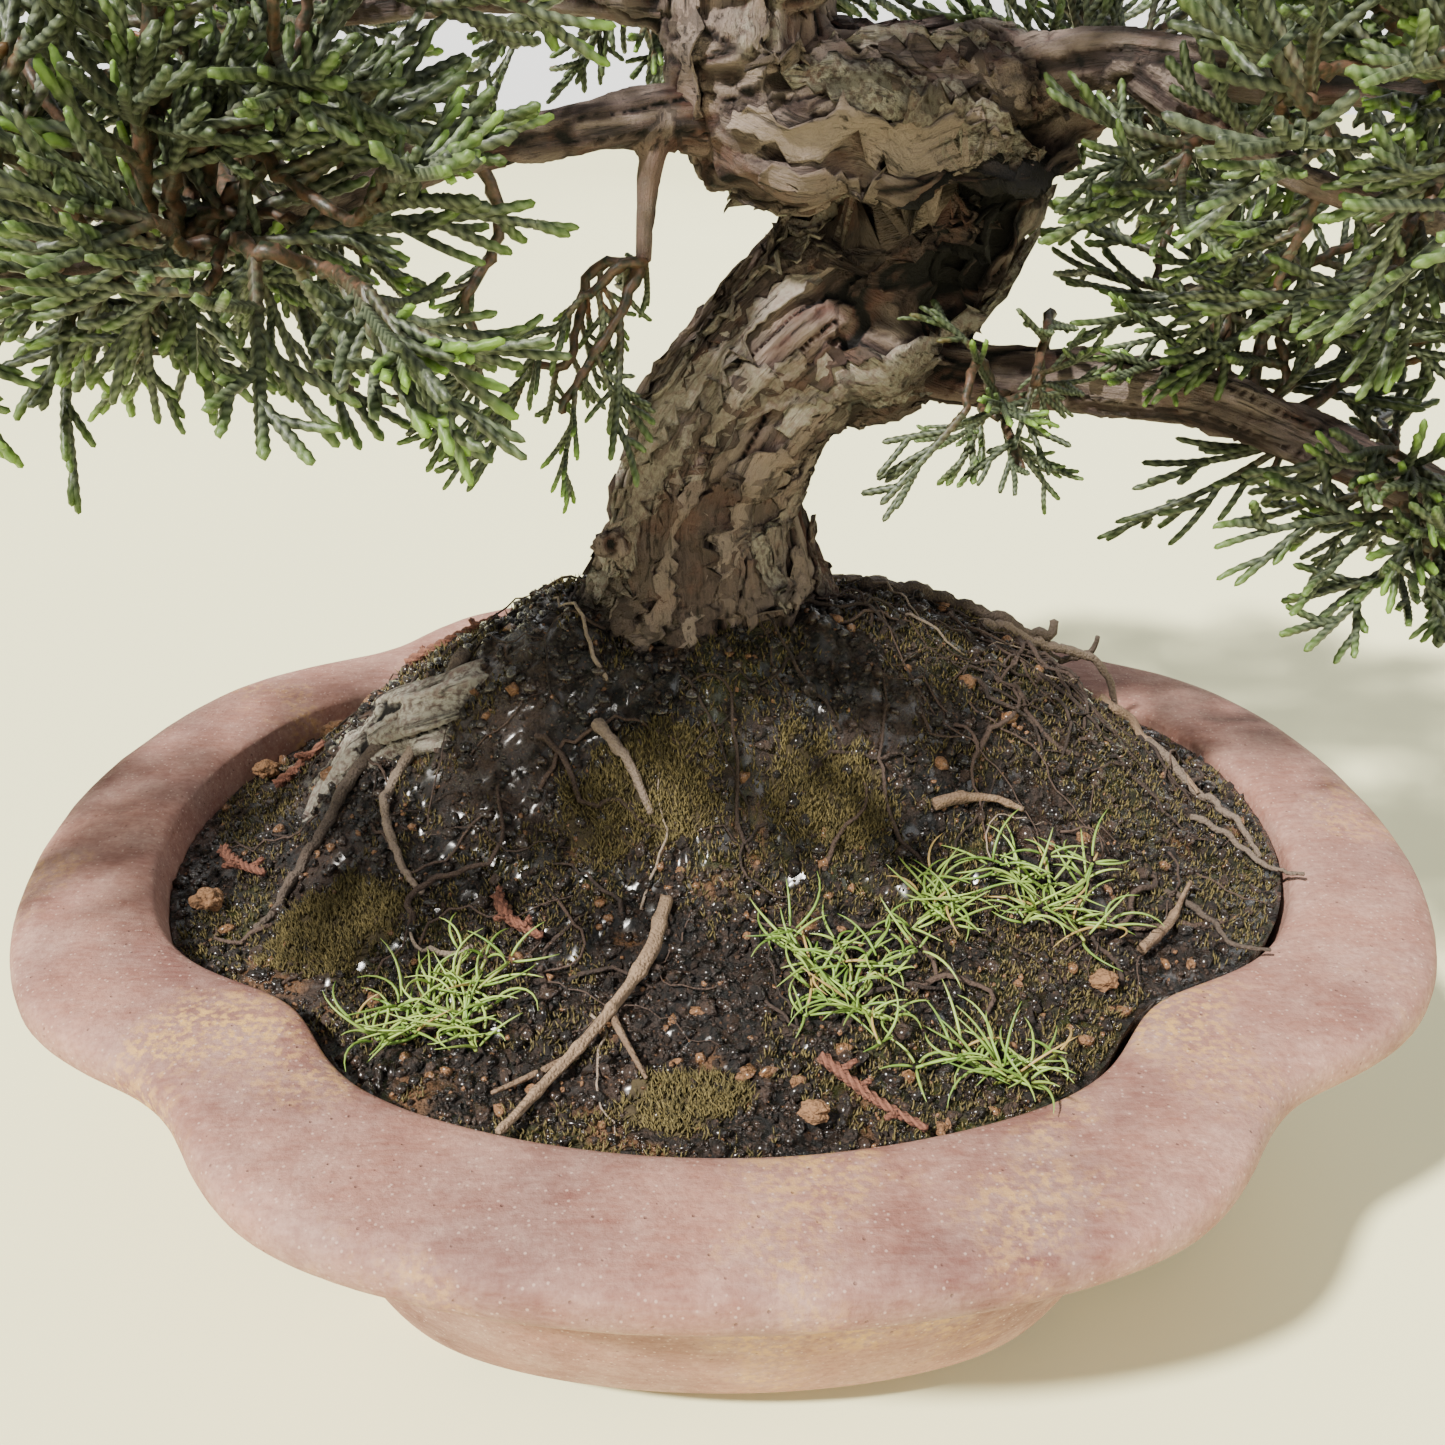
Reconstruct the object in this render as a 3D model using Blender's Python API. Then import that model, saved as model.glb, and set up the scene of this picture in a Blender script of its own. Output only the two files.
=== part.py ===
"""Juniper bonsai in a four-lobed unglazed clay pot. Metres, +Z up.

The origin is the middle of the pot's footprint on the surface it stands on. +X runs along the
pot's long side and -Y is the viewing side. Lists of points are in millimetres and are turned
into metres by the functions that read them.
"""
import math

import bmesh
import bpy
from mathutils import Vector, noise

MM = 0.001
GAP = 0.4            # clear space between neighbouring solids
TAU = math.tau

# ---------------------------------------------------------------- driving dimensions (mm)
RIM_HEIGHT = 71.4    # top of the lip above the table
UNDERSIDE = 12.0     # bottom of the body above the table
FLOOR_TOP = 20.0     # inner floor of the pot
POT_SIDES = 48

# Plan outlines: radius = mean + stretch cos 2a + square cos 4a, less a dip at each corner.
RIM_OUTLINE = {"mean": 133.5, "stretch": 7.1, "square": -0.6, "dip": 10.8, "corner": 0.75, "width": 0.19}
MOUTH_OUTLINE = {"mean": 106.0, "stretch": 8.2, "square": 0.9, "dip": 8.9, "corner": 0.706, "width": 0.183}

# Section of the pot from under its middle, up the outside, over the lip and down inside.
OUTER_SECTION = [  # (inset from the rim outline, height)
    (33.0, UNDERSIDE), (30.0, 12.8), (25.0, 24.0), (21.0, 38.0), (18.5, 50.0), (17.0, 58.0),
    (13.0, 61.0), (3.5, 62.0), (0.7, 64.0), (0.0, 67.0), (1.2, 70.0), (4.5, RIM_HEIGHT),
]
INNER_SECTION = [  # (inset from the mouth outline, height)
    (-4.0, RIM_HEIGHT), (-1.0, 70.4), (0.0, 68.0), (1.5, 60.0), (6.0, 30.0), (9.0, 22.0), (13.0, FLOOR_TOP),
]

FOOT_ANGLES = [50, 130, 230, 310]
FOOT_CENTRE_RADIUS = 83.5
FOOT_HALF_LENGTH = 16.0
FOOT_HALF_WIDTH = 7.5
FOOT_SECTION = [(0.88, 0.0), (0.96, 1.5), (1.0, 6.0), (1.0, 15.0)]  # (scale, height)

DRAIN_X = 48.0
DRAIN_RADIUS = 11.0
SCREEN_HOLES = 4
SCREEN_PITCH = 7.0
SCREEN_BAR = 2.0
SCREEN_THICKNESS = 1.2
STAPLE_RADIUS = 0.6
STAPLE_REACH = 18.0

# Soil: a low bed with a broad mound round the trunk.
BED_DEPTH = 5.0          # bed below the lip
BED_TILT = 3.0           # the bed is lower at -X and higher at +X
MOUND_HEIGHT = 43.0
MOUND_RADIUS = 46.0
MOUND_STRETCH = 1.75     # how much longer the mound is along X
MOUND_Y = 14.0
MOUND_FADE = 0.35        # share of the way from the wall over which the mound comes in
SOIL_RINGS = [0.94, 0.82, 0.68, 0.54, 0.41, 0.28, 0.15]

# ---------------------------------------------------------------- the tree's wood
# Routes are (x, y, z, radius). Each joins the others inside the trunk.
LOWER_TRUNK = [
    (-1, 12, 78, 25), (-1, 12, 98, 26), (-2, 12, 112, 22.5), (-3, 11, 126, 18.5), (-3.5, 11, 136, 17),
    (2, 11, 151, 15.8), (13, 13, 164, 17), (28, 15, 175, 20), (42, 18, 188, 18), (47, 17, 199, 15),
]
MIDDLE_TRUNK = [(52, 13, 202, 13.5), (38, 6, 205.5, 13.5), (24, -2, 206, 13), (11, -6, 205, 13), (2, -6, 206, 11)]
UPPER_TRUNK = [
    (8, -5, 198, 12), (4, -4, 212, 14), (3.5, -3, 226, 13), (2, -1, 242, 11.5), (-3, 1, 258, 10),
    (-8, 2, 274, 8.5), (-5, 1, 290, 7), (1, 0, 304, 5.5), (4, 0, 318, 4), (3, 0, 332, 2.6),
]
KNUCKLE_CENTRE = (45, 15, 201)
KNUCKLE_RADII = (18, 18, 18)

BRANCHES = {
    "surface_root": [(-10, 10, 98, 14), (-32, 4, 99, 11), (-54, -4, 94.5, 9.5), (-67, -2, 88.5, 8.5),
                     (-78, -4, 79, 6), (-85, -10, 70, 4)],
    "left_low": [(8, -5, 205, 6.5), (-8, -11, 205.5, 4.6), (-24, -17, 204, 3.6), (-45, -28, 200.5, 3.2),
                 (-72, -46, 192, 2.8), (-104, -62, 189, 2.4), (-140, -66, 186, 2.0), (-190, -60, 184, 1.5)],
    "left_back": [(2, 0, 222, 7), (-18, 22, 224, 4.5), (-42, 45, 225, 3.8), (-75, 66, 222, 2.8), (-100, 76, 220, 2)],
    "left_spur": [(-10, -12, 205, 2.4), (-12, -14, 196, 1.8), (-13, -15, 184, 1.3)],
    "right_low": [(26, 13, 170, 9), (44, 12, 161, 6.5), (70, 6, 159.5, 5.4), (88, 0, 158, 5), (106, -4, 152, 4.6),
                  (134, -7, 141, 4.2), (165, -6, 137, 3.2), (200, -2, 138, 2.0)],
    "right_high": [(44, 12, 206, 8), (60, -6, 214, 4.4), (81, -17, 212, 3.6), (106, -29, 211, 3.2),
                   (145, -38, 207, 2.6), (185, -42, 203, 1.8)],
    "right_fork": [(64, -9, 213, 3), (81, -23, 202, 2.5), (94, -28, 196, 2.1), (118, -32, 190, 1.6)],
    "right_back": [(44, 20, 202, 8), (52, 42, 208, 4.6), (68, 66, 213, 3.6), (92, 84, 210, 2.4)],
    "back_centre": [(3, -1, 232, 7), (-6, 24, 238, 4.4), (-16, 55, 240, 3.4), (-20, 92, 238, 2.2)],
    "upper_left": [(0, 0, 250, 6), (-30, -10, 258, 3.8), (-62, -18, 260, 2.8), (-96, -22, 258, 1.8)],
    "upper_right": [(-6, 2, 264, 6), (26, -4, 270, 3.6), (58, -10, 271, 2.6), (90, -12, 268, 1.7)],
    "upper_front": [(-7, 1, 270, 6), (0, -28, 277, 3), (5, -58, 280, 2), (7, -80, 280, 1.4)],
    "upper_back": [(-6, 2, 280, 5), (-4, 30, 288, 3), (-2, 62, 290, 1.8)],
    "apex_left": [(0, 0, 302, 4), (-20, 4, 312, 2.4), (-36, 6, 320, 1.6)],
}

# ---------------------------------------------------------------- foliage pads, as (low, high) corners
REACH_X = 236
REACH_Y = 132
TREE_TOP = 352
FOLIAGE = {
    "foliage_left_front": ((-156, -REACH_Y, 172), (-88, -50, 210)),
    "foliage_left_outer": ((-REACH_X, -108, 168), (-160, -8, 208)),
    "foliage_left_inner": ((-87, -104, 182), (-18, -48, 210)),
    "foliage_left_upper": ((-146, -102, 211), (-12, -30, 242)),
    "foliage_left_middle": ((-144, -46, 164), (-52, 34, 206)),
    "foliage_left_hanging": ((-49, -36, 152), (-13, -9, 188)),
    "foliage_left_back": ((-150, 36, 194), (-64, 106, 246)),
    "foliage_right_inner": ((31, -34, 146), (60, -6, 173)),
    "foliage_right_front": ((44, -118, 188), (150, -52, 226)),
    "foliage_right_middle": ((52, -48, 174), (150, -12, 224)),
    "foliage_right_low": ((92, -50, 128), (168, 28, 162)),
    "foliage_right_outer": ((172, -62, 124), (REACH_X, 52, 176)),
    "foliage_right_tip": ((154, -84, 180), (230, 14, 226)),
    "foliage_right_behind": ((66, -8, 166), (150, 44, 206)),
    "foliage_right_back": ((40, 50, 178), (142, 122, 236)),
    "foliage_back": ((-62, 62, 202), (34, REACH_Y, 264)),
    "foliage_upper_left": ((-130, -64, 247), (-34, 22, 284)),
    "foliage_upper_right": ((42, -58, 250), (128, 24, 292)),
    "foliage_upper_front": ((-34, -108, 264), (40, -26, 302)),
    "foliage_upper_back": ((-46, 26, 270), (46, 98, 306)),
    "foliage_apex": ((-54, -42, 308), (56, 42, TREE_TOP)),
}
PAD_SIDES = 10
PAD_RINGS = 5

# ---------------------------------------------------------------- what grows and lies on the soil
# (x, y, half length, half width, thickness)
MOSS = {
    "moss_left": (-71, -42, 17, 11, 3.0),
    "moss_centre": (-15, -30, 17, 11, 3.0),
    "moss_right": (21, -30, 13, 10, 3.0),
    "moss_front": (-6, -84, 12, 7, 2.5),
    "moss_back": (-14, 60, 26, 13, 3.0),
    "moss_right_back": (60, 32, 17, 12, 3.0),
}
PEARLWORT = {
    "pearlwort_left": (-46, -65, 17, 11, 9.0),
    "pearlwort_front": (21, -63, 13, 12, 10.0),
    "pearlwort_front_right": (43, -80, 11, 7, 7.0),
    "pearlwort_right": (60, -43, 12, 10, 10.0),
    "pearlwort_middle": (38, -47, 6, 7, 6.0),
}
# (radius, plan points)
TWIGS = {
    "twig_pale_forked": (1.6, [(-11, -47), (-14, -60), (-22, -73), (-34, -92)]),
    "twig_red": (1.3, [(16, -78), (24, -87), (31, -93)]),
    "twig_short": (1.3, [(40, -29), (48, -27), (57, -27)]),
    "twig_orange": (1.3, [(84, 24), (94, 14), (101, 0)]),
    "twig_right": (1.2, [(74, -52), (82, -44), (88, -34)]),
    "dead_shoot_back": (1.6, [(-70, 26), (-60, 27), (-50, 26)]),
    "dead_shoot_left": (1.6, [(-97, 8), (-91, 9), (-86, 10)]),
    "dead_shoot_outer": (1.5, [(-103, -12), (-97, -19), (-90, -25)]),
    "dead_shoot_middle": (1.6, [(-41, -43), (-38, -48), (-32, -52)]),
}
# (x, y, radius)
STONES = {
    "grit_stone_1": (-104, 22, 3.0),
    "grit_stone_2": (-100, -30, 3.4),
    "grit_stone_3": (66, -60, 2.6),
    "grit_stone_4": (14, -90, 2.6),
    "grit_stone_5": (-92, 36, 3.2),
}

COLOURS = {  # colour, roughness
    "clay": ((0.36, 0.20, 0.17), 0.85),
    "soil": ((0.028, 0.022, 0.017), 0.75),
    "bark": ((0.20, 0.13, 0.10), 0.9),
    "foliage": ((0.055, 0.12, 0.045), 0.6),
    "moss": ((0.05, 0.06, 0.015), 0.95),
    "weed": ((0.26, 0.42, 0.10), 0.55),
    "dead_wood": ((0.32, 0.22, 0.15), 0.85),
    "dead_shoot": ((0.36, 0.12, 0.06), 0.85),
    "grit": ((0.30, 0.26, 0.21), 0.9),
    "screen_plastic": ((0.02, 0.03, 0.025), 0.5),
    "wire": ((0.45, 0.25, 0.16), 0.4),
}


# ---------------------------------------------------------------- shared helpers
def clear_scene():
    for item in list(bpy.data.objects):
        bpy.data.objects.remove(item, do_unlink=True)


def make_materials():
    made = {}
    for name, (colour, roughness) in COLOURS.items():
        material = bpy.data.materials.new(name)
        material.use_nodes = True
        shader = material.node_tree.nodes["Principled BSDF"]
        shader.inputs["Base Color"].default_value = (*colour, 1.0)
        shader.inputs["Roughness"].default_value = roughness
        shader.inputs["Metallic"].default_value = 1.0 if name == "wire" else 0.0
        made[name] = material
    return made


def add_object(name, shape, material, helper=False):
    """Turn a bmesh into an object; a helper only cuts or joins other objects."""
    bmesh.ops.recalc_face_normals(shape, faces=shape.faces)
    mesh = bpy.data.meshes.new(name)
    shape.to_mesh(mesh)
    shape.free()
    mesh.shade_smooth()
    mesh.set_sharp_from_angle(angle=math.radians(40))
    item = bpy.data.objects.new(name, mesh)
    bpy.context.scene.collection.objects.link(item)
    if material:
        mesh.materials.append(material)
    if helper:
        item.hide_render = True
        item.display_type = "WIRE"
    return item


def boolean(item, other, operation):
    step = item.modifiers.new(f"{operation.lower()}_{other.name}", "BOOLEAN")
    step.operation = operation
    step.solver = "EXACT"
    step.object = other


def loft(rings, start, end):
    """Closed skin over a stack of rings, with a fan to a point at each end."""
    shape = bmesh.new()
    loops = [[shape.verts.new(Vector(point) * MM) for point in ring] for ring in rings]
    count = len(rings[0])
    for lower, upper in zip(loops, loops[1:]):
        for i in range(count):
            j = (i + 1) % count
            shape.faces.new((lower[i], lower[j], upper[j], upper[i]))
    for loop, tip in ((loops[0], start), (loops[-1], end)):
        centre = shape.verts.new(Vector(tip) * MM)
        for i in range(count):
            shape.faces.new((loop[i], loop[(i + 1) % count], centre))
    return shape


def outline_radius(outline, angle):
    turn = math.atan2(abs(math.sin(angle)), abs(math.cos(angle)))
    dip = outline["dip"] * math.exp(-(((turn - outline["corner"]) / outline["width"]) ** 2))
    wave = outline["stretch"] * math.cos(2 * angle) + outline["square"] * math.cos(4 * angle)
    return outline["mean"] + wave - dip


def outline_ring(outline, inset, height):
    ring = []
    for i in range(POT_SIDES):
        angle = TAU * i / POT_SIDES
        radius = outline_radius(outline, angle) - inset
        ring.append((radius * math.cos(angle), radius * math.sin(angle), height))
    return ring


def smooth_route(points, steps):
    """Catmull-Rom curve through points of any width, with so many samples per span."""
    padded = [points[0], *points, points[-1]]
    route = []
    for a, b, c, d in zip(padded, padded[1:], padded[2:], padded[3:]):
        for i in range(steps):
            t = i / steps
            route.append(tuple(
                0.5 * (2 * q + (r - p) * t + (2 * p - 5 * q + 4 * r - s) * t ** 2 + (3 * q - p - 3 * r + s) * t ** 3)
                for p, q, r, s in zip(a, b, c, d)))
    route.append(tuple(points[-1]))
    return route


def sweep(route, sides, extra=0.0, flutes=0, flute_depth=0.0, twist=0.0):
    """Round or fluted tube along (x, y, z, radius) points, with domed ends."""
    centres = [Vector(point[:3]) for point in route]
    last = len(centres) - 1
    side = None
    rings = []
    for i, centre in enumerate(centres):
        ahead = (centres[min(i + 1, last)] - centres[max(i - 1, 0)]).normalized()
        side = ahead.orthogonal() if side is None else side - ahead * side.dot(ahead)
        side.normalize()
        across = ahead.cross(side)
        ring = []
        for k in range(sides):
            angle = TAU * k / sides
            radius = route[i][3] * (1 + flute_depth * math.cos(flutes * angle + twist * i)) + extra
            ring.append(centre + (side * math.cos(angle) + across * math.sin(angle)) * radius)
        rings.append(ring)
    first_way = (centres[0] - centres[1]).normalized()
    last_way = (centres[-1] - centres[-2]).normalized()
    start = centres[0] + first_way * (0.5 * route[0][3] + extra)
    end = centres[-1] + last_way * (0.5 * route[-1][3] + extra)
    return loft(rings, start, end)


def lump(low, high, sides, rings, roughness, seed, flat=1.0):
    """Uneven closed lump that exactly fills the box from low to high."""
    points = []
    for j in range(rings + 2):
        tilt = math.pi * j / (rings + 1) - math.pi / 2
        for i in range(sides):
            angle = TAU * (i + 0.5 * (j % 2)) / sides
            way = Vector((math.cos(tilt) * math.cos(angle), math.cos(tilt) * math.sin(angle), math.sin(tilt)))
            size = 1 + roughness * noise.noise(way * 1.9 + Vector((seed * 3.7, seed * 1.3, 0)))
            point = way * size
            point.z *= flat if point.z < 0 else 1.0
            points.append(point)
    lowest = [min(point[k] for point in points) for k in range(3)]
    highest = [max(point[k] for point in points) for k in range(3)]
    scaled = []
    for point in points:
        share = [(point[k] - lowest[k]) / (highest[k] - lowest[k]) for k in range(3)]
        scaled.append(tuple(low[k] + share[k] * (high[k] - low[k]) for k in range(3)))
    stack = [scaled[j * sides:(j + 1) * sides] for j in range(rings + 2)]
    return loft(stack[1:-1], stack[0][0], stack[-1][0])


# ---------------------------------------------------------------- pot and what is inside it
def make_pot(materials):
    """One fired piece: body, lip, four feet and two drainage holes."""
    rings = [outline_ring(RIM_OUTLINE, inset, height) for inset, height in OUTER_SECTION]
    rings += [outline_ring(MOUTH_OUTLINE, inset, height) for inset, height in INNER_SECTION]
    pot = add_object("pot", loft(rings, (0, 0, UNDERSIDE), (0, 0, FLOOR_TOP)), materials["clay"])
    for number, degrees in enumerate(FOOT_ANGLES):
        foot = add_object(f"foot_shape_{number}", foot_shape(math.radians(degrees)), None, helper=True)
        boolean(pot, foot, "UNION")
    for number, x in enumerate((-DRAIN_X, DRAIN_X)):
        route = [(x, 0, UNDERSIDE - 5, DRAIN_RADIUS), (x, 0, FLOOR_TOP + 5, DRAIN_RADIUS)]
        cutter = add_object(f"drain_shape_{number}", sweep(route, 20), None, helper=True)
        boolean(pot, cutter, "DIFFERENCE")
    return pot


def foot_shape(angle):
    """Low block with rounded ends, its long side along the body's edge."""
    centre = Vector((math.cos(angle), math.sin(angle), 0)) * FOOT_CENTRE_RADIUS
    outward = Vector((math.cos(angle), math.sin(angle), 0))
    along = Vector((-math.sin(angle), math.cos(angle), 0))
    sides = 14
    rings = []
    for scale, height in FOOT_SECTION:
        ring = []
        for i in range(sides):
            turn = TAU * i / sides
            a = math.copysign(abs(math.cos(turn)) ** 0.5, math.cos(turn)) * FOOT_HALF_LENGTH * scale
            b = math.copysign(abs(math.sin(turn)) ** 0.5, math.sin(turn)) * FOOT_HALF_WIDTH * scale
            ring.append(centre + along * a + outward * b + Vector((0, 0, height)))
        rings.append(ring)
    bottom = centre + Vector((0, 0, FOOT_SECTION[0][1]))
    top = centre + Vector((0, 0, FOOT_SECTION[-1][1]))
    return loft(rings, bottom, top)


def make_screens(materials):
    """Plastic grid over each drainage hole, held by a wire staple bent out under the pot."""
    low = FLOOR_TOP + GAP
    wire_top = low + SCREEN_THICKNESS + GAP + STAPLE_RADIUS
    wire_bottom = UNDERSIDE - GAP - STAPLE_RADIUS
    leg = SCREEN_PITCH / 2
    for side, x in (("left", -DRAIN_X), ("right", DRAIN_X)):
        add_object(f"drainage_screen_{side}", screen_shape(x, low), materials["screen_plastic"])
        middle = x + SCREEN_PITCH / 2
        bends = [(-STAPLE_REACH, wire_bottom), (-leg - 2, wire_bottom), (-leg, wire_bottom + 2), (-leg, wire_top - 1),
                 (-leg + 1, wire_top), (leg - 1, wire_top), (leg, wire_top - 1), (leg, wire_bottom + 2),
                 (leg + 2, wire_bottom), (STAPLE_REACH, wire_bottom)]
        route = [(middle, y, z, STAPLE_RADIUS) for y, z in bends]
        add_object(f"screen_staple_{side}", sweep(route, 6), materials["wire"])


def screen_shape(middle_x, low):
    """Square plate with a grid of square holes."""
    edges = [0.0]
    for _ in range(SCREEN_HOLES):
        edges += [edges[-1] + SCREEN_BAR, edges[-1] + SCREEN_PITCH]
    edges.append(edges[-1] + SCREEN_BAR)
    half = edges[-1] / 2
    cells = len(edges) - 1
    shape = bmesh.new()
    corners = {}

    def corner(i, j, height):
        if (i, j, height) not in corners:
            point = Vector((middle_x + edges[i] - half, edges[j] - half, height))
            corners[i, j, height] = shape.verts.new(point * MM)
        return corners[i, j, height]

    def solid(i, j):
        inside = 0 <= i < cells and 0 <= j < cells
        return inside and not (i % 2 and j % 2)

    high = low + SCREEN_THICKNESS
    for i in range(cells):
        for j in range(cells):
            if not solid(i, j):
                continue
            square = [(i, j), (i + 1, j), (i + 1, j + 1), (i, j + 1)]
            shape.faces.new([corner(*place, high) for place in square])
            shape.faces.new([corner(*place, low) for place in reversed(square)])
            beside = [(i, j - 1), (i + 1, j), (i, j + 1), (i - 1, j)]
            for number, place in enumerate(beside):
                if not solid(*place):
                    a, b = square[number], square[(number + 1) % 4]
                    shape.faces.new([corner(*a, low), corner(*b, low), corner(*b, high), corner(*a, high)])
    return shape


# ---------------------------------------------------------------- soil
def soil_height(x, y):
    """Top of the soil above the table at a point in plan."""
    angle = math.atan2(y, x)
    share = 1 - math.hypot(x, y) / outline_radius(MOUTH_OUTLINE, angle)
    fade = min(max(share / MOUND_FADE, 0), 1)
    fade = fade * fade * (3 - 2 * fade)
    away = math.hypot(x / MOUND_STRETCH, y - MOUND_Y) / MOUND_RADIUS
    mound = MOUND_HEIGHT / (1 + away ** 4) * fade
    unevenness = 1.2 * noise.noise(Vector((x, y, 0)) * 0.06)
    return RIM_HEIGHT - BED_DEPTH + BED_TILT * x / MOUTH_OUTLINE["mean"] + mound + unevenness * fade


def wall_inset(height):
    """Inset of the pot's inner wall at a height, from its section."""
    for (inset_a, high), (inset_b, low) in zip(INNER_SECTION, INNER_SECTION[1:]):
        if low <= height <= high:
            return inset_b + (inset_a - inset_b) * (height - low) / (high - low)
    return INNER_SECTION[-1][0]


def make_soil(materials, wood_room):
    bottom = FLOOR_TOP + GAP
    rings = [outline_ring(MOUTH_OUTLINE, wall_inset(FLOOR_TOP) + 2 * GAP, bottom)]
    rings += [outline_ring(MOUTH_OUTLINE, wall_inset(z) + 2 * GAP, z) for z in (22.0, 30.0, 58.0)]
    edge = []
    for x, y, _ in outline_ring(MOUTH_OUTLINE, wall_inset(64.0) + 2 * GAP, 0):
        edge.append((x, y, soil_height(x, y)))
    rings.append(edge)
    for share in SOIL_RINGS:
        rings.append([(x * share, y * share, soil_height(x * share, y * share)) for x, y, _ in edge])
    soil = add_object("soil", loft(rings, (0, 0, bottom), (0, 0, soil_height(0, 0))), materials["soil"])
    for side, x in (("left", -DRAIN_X), ("right", DRAIN_X)):
        half = SCREEN_HOLES * SCREEN_PITCH / 2 + SCREEN_BAR / 2 + 1.5
        square = [(x - half, -half), (x + half, -half), (x + half, half), (x - half, half)]
        rings = [[(a, b, z) for a, b in square] for z in (FLOOR_TOP - 2, FLOOR_TOP + 4)]
        pocket = add_object(f"screen_pocket_{side}", loft(rings, (x, 0, FLOOR_TOP - 2), (x, 0, FLOOR_TOP + 4)),
                            None, helper=True)
        boolean(soil, pocket, "DIFFERENCE")
    boolean(soil, wood_room, "DIFFERENCE")


# ---------------------------------------------------------------- tree
def make_wood(name, material, extra=0.0):
    """Trunk, branches and surface root, joined into one piece; extra makes it fatter all round."""
    helper = material is None
    trunk = sweep(smooth_route(LOWER_TRUNK, 2), 14, extra, flutes=5, flute_depth=0.07, twist=0.22)
    wood = add_object(name, trunk, material, helper)
    parts = {
        "middle_trunk": sweep(smooth_route(MIDDLE_TRUNK, 2), 12, extra, flutes=4, flute_depth=0.07, twist=0.3),
        "upper_trunk": sweep(smooth_route(UPPER_TRUNK, 2), 11, extra, flutes=4, flute_depth=0.06, twist=0.2),
        "knuckle": knuckle_shape(extra),
    }
    for branch, points in BRANCHES.items():
        sides = 9 if branch == "surface_root" else 6
        parts[branch] = sweep(smooth_route(points, 2), sides, extra)
    for part, shape in parts.items():
        boolean(wood, add_object(f"{name}_{part}", shape, None, helper=True), "UNION")
    return wood


def knuckle_shape(extra):
    """Swollen elbow where the trunk turns back on itself."""
    low = [c - r - extra for c, r in zip(KNUCKLE_CENTRE, KNUCKLE_RADII)]
    high = [c + r + extra for c, r in zip(KNUCKLE_CENTRE, KNUCKLE_RADII)]
    return lump(low, high, 12, 7, 0.12, seed=4)


def make_foliage(materials, wood_room):
    for number, (name, (low, high)) in enumerate(FOLIAGE.items()):
        pad = add_object(name, lump(low, high, PAD_SIDES, PAD_RINGS, 0.35, number, flat=0.6), materials["foliage"])
        boolean(pad, wood_room, "DIFFERENCE")


# ---------------------------------------------------------------- soil cover
def cushion(x, y, half_length, half_width, thickness, seed, sides=12):
    """Low cushion whose underside follows the soil a little above it."""
    clear = 1.0
    rings = []
    for share, lift in ((0.5, 0.0), (0.93, 0.0), (1.0, 0.3), (0.85, 0.7), (0.45, 1.0)):
        ring = []
        for i in range(sides):
            angle = TAU * i / sides
            wave = 1 + 0.16 * noise.noise(Vector((math.cos(angle) * 1.5, math.sin(angle) * 1.5, seed)))
            px = x + half_length * share * wave * math.cos(angle)
            py = y + half_width * share * wave * math.sin(angle)
            ring.append((px, py, soil_height(px, py) + clear + lift * thickness))
        rings.append(ring)
    middle = soil_height(x, y) + clear
    return loft(rings, (x, y, middle), (x, y, middle + thickness))


def make_cover(materials, wood_room):
    for number, (name, sizes) in enumerate(MOSS.items()):
        boolean(add_object(name, cushion(*sizes, seed=number), materials["moss"]), wood_room, "DIFFERENCE")
    for number, (name, sizes) in enumerate(PEARLWORT.items()):
        add_object(name, cushion(*sizes, seed=number + 20), materials["weed"])
    for name, (radius, plan) in TWIGS.items():
        material = materials["dead_shoot" if name.startswith("dead") or name == "twig_red" else "dead_wood"]
        points = [(x, y, soil_height(x, y) + radius + 1.2, radius) for x, y in smooth_route(plan, 3)]
        add_object(name, sweep(points, 6), material)
    for number, (name, (x, y, radius)) in enumerate(STONES.items()):
        middle = soil_height(x, y) + radius * 0.8 + 1.2
        low = (x - radius, y - radius * 0.8, middle - radius * 0.7)
        high = (x + radius, y + radius * 0.8, middle + radius * 0.7)
        add_object(name, lump(low, high, 7, 3, 0.4, number + 40), materials["grit"])


def main():
    clear_scene()
    materials = make_materials()
    make_pot(materials)
    make_screens(materials)
    make_wood("trunk_and_branches", materials["bark"])
    wood_room = make_wood("wood_room", None, extra=GAP)
    make_soil(materials, wood_room)
    make_foliage(materials, wood_room)
    make_cover(materials, wood_room)


main()
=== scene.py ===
"""Looks of a juniper bonsai in a four-lobed unglazed clay pot.

Lengths are in millimetres unless a name says otherwise; every mesh is made in metres. The origin
is the middle of the pot's footprint, +X runs along the pot's long side and -Y is the viewing side.
"""
import sys

import logging
import math
import zlib
from dataclasses import dataclass, field
from enum import Enum

import bmesh
import bpy
import numpy as np
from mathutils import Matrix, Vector
from mathutils.bvhtree import BVHTree
from mathutils.kdtree import KDTree


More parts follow.
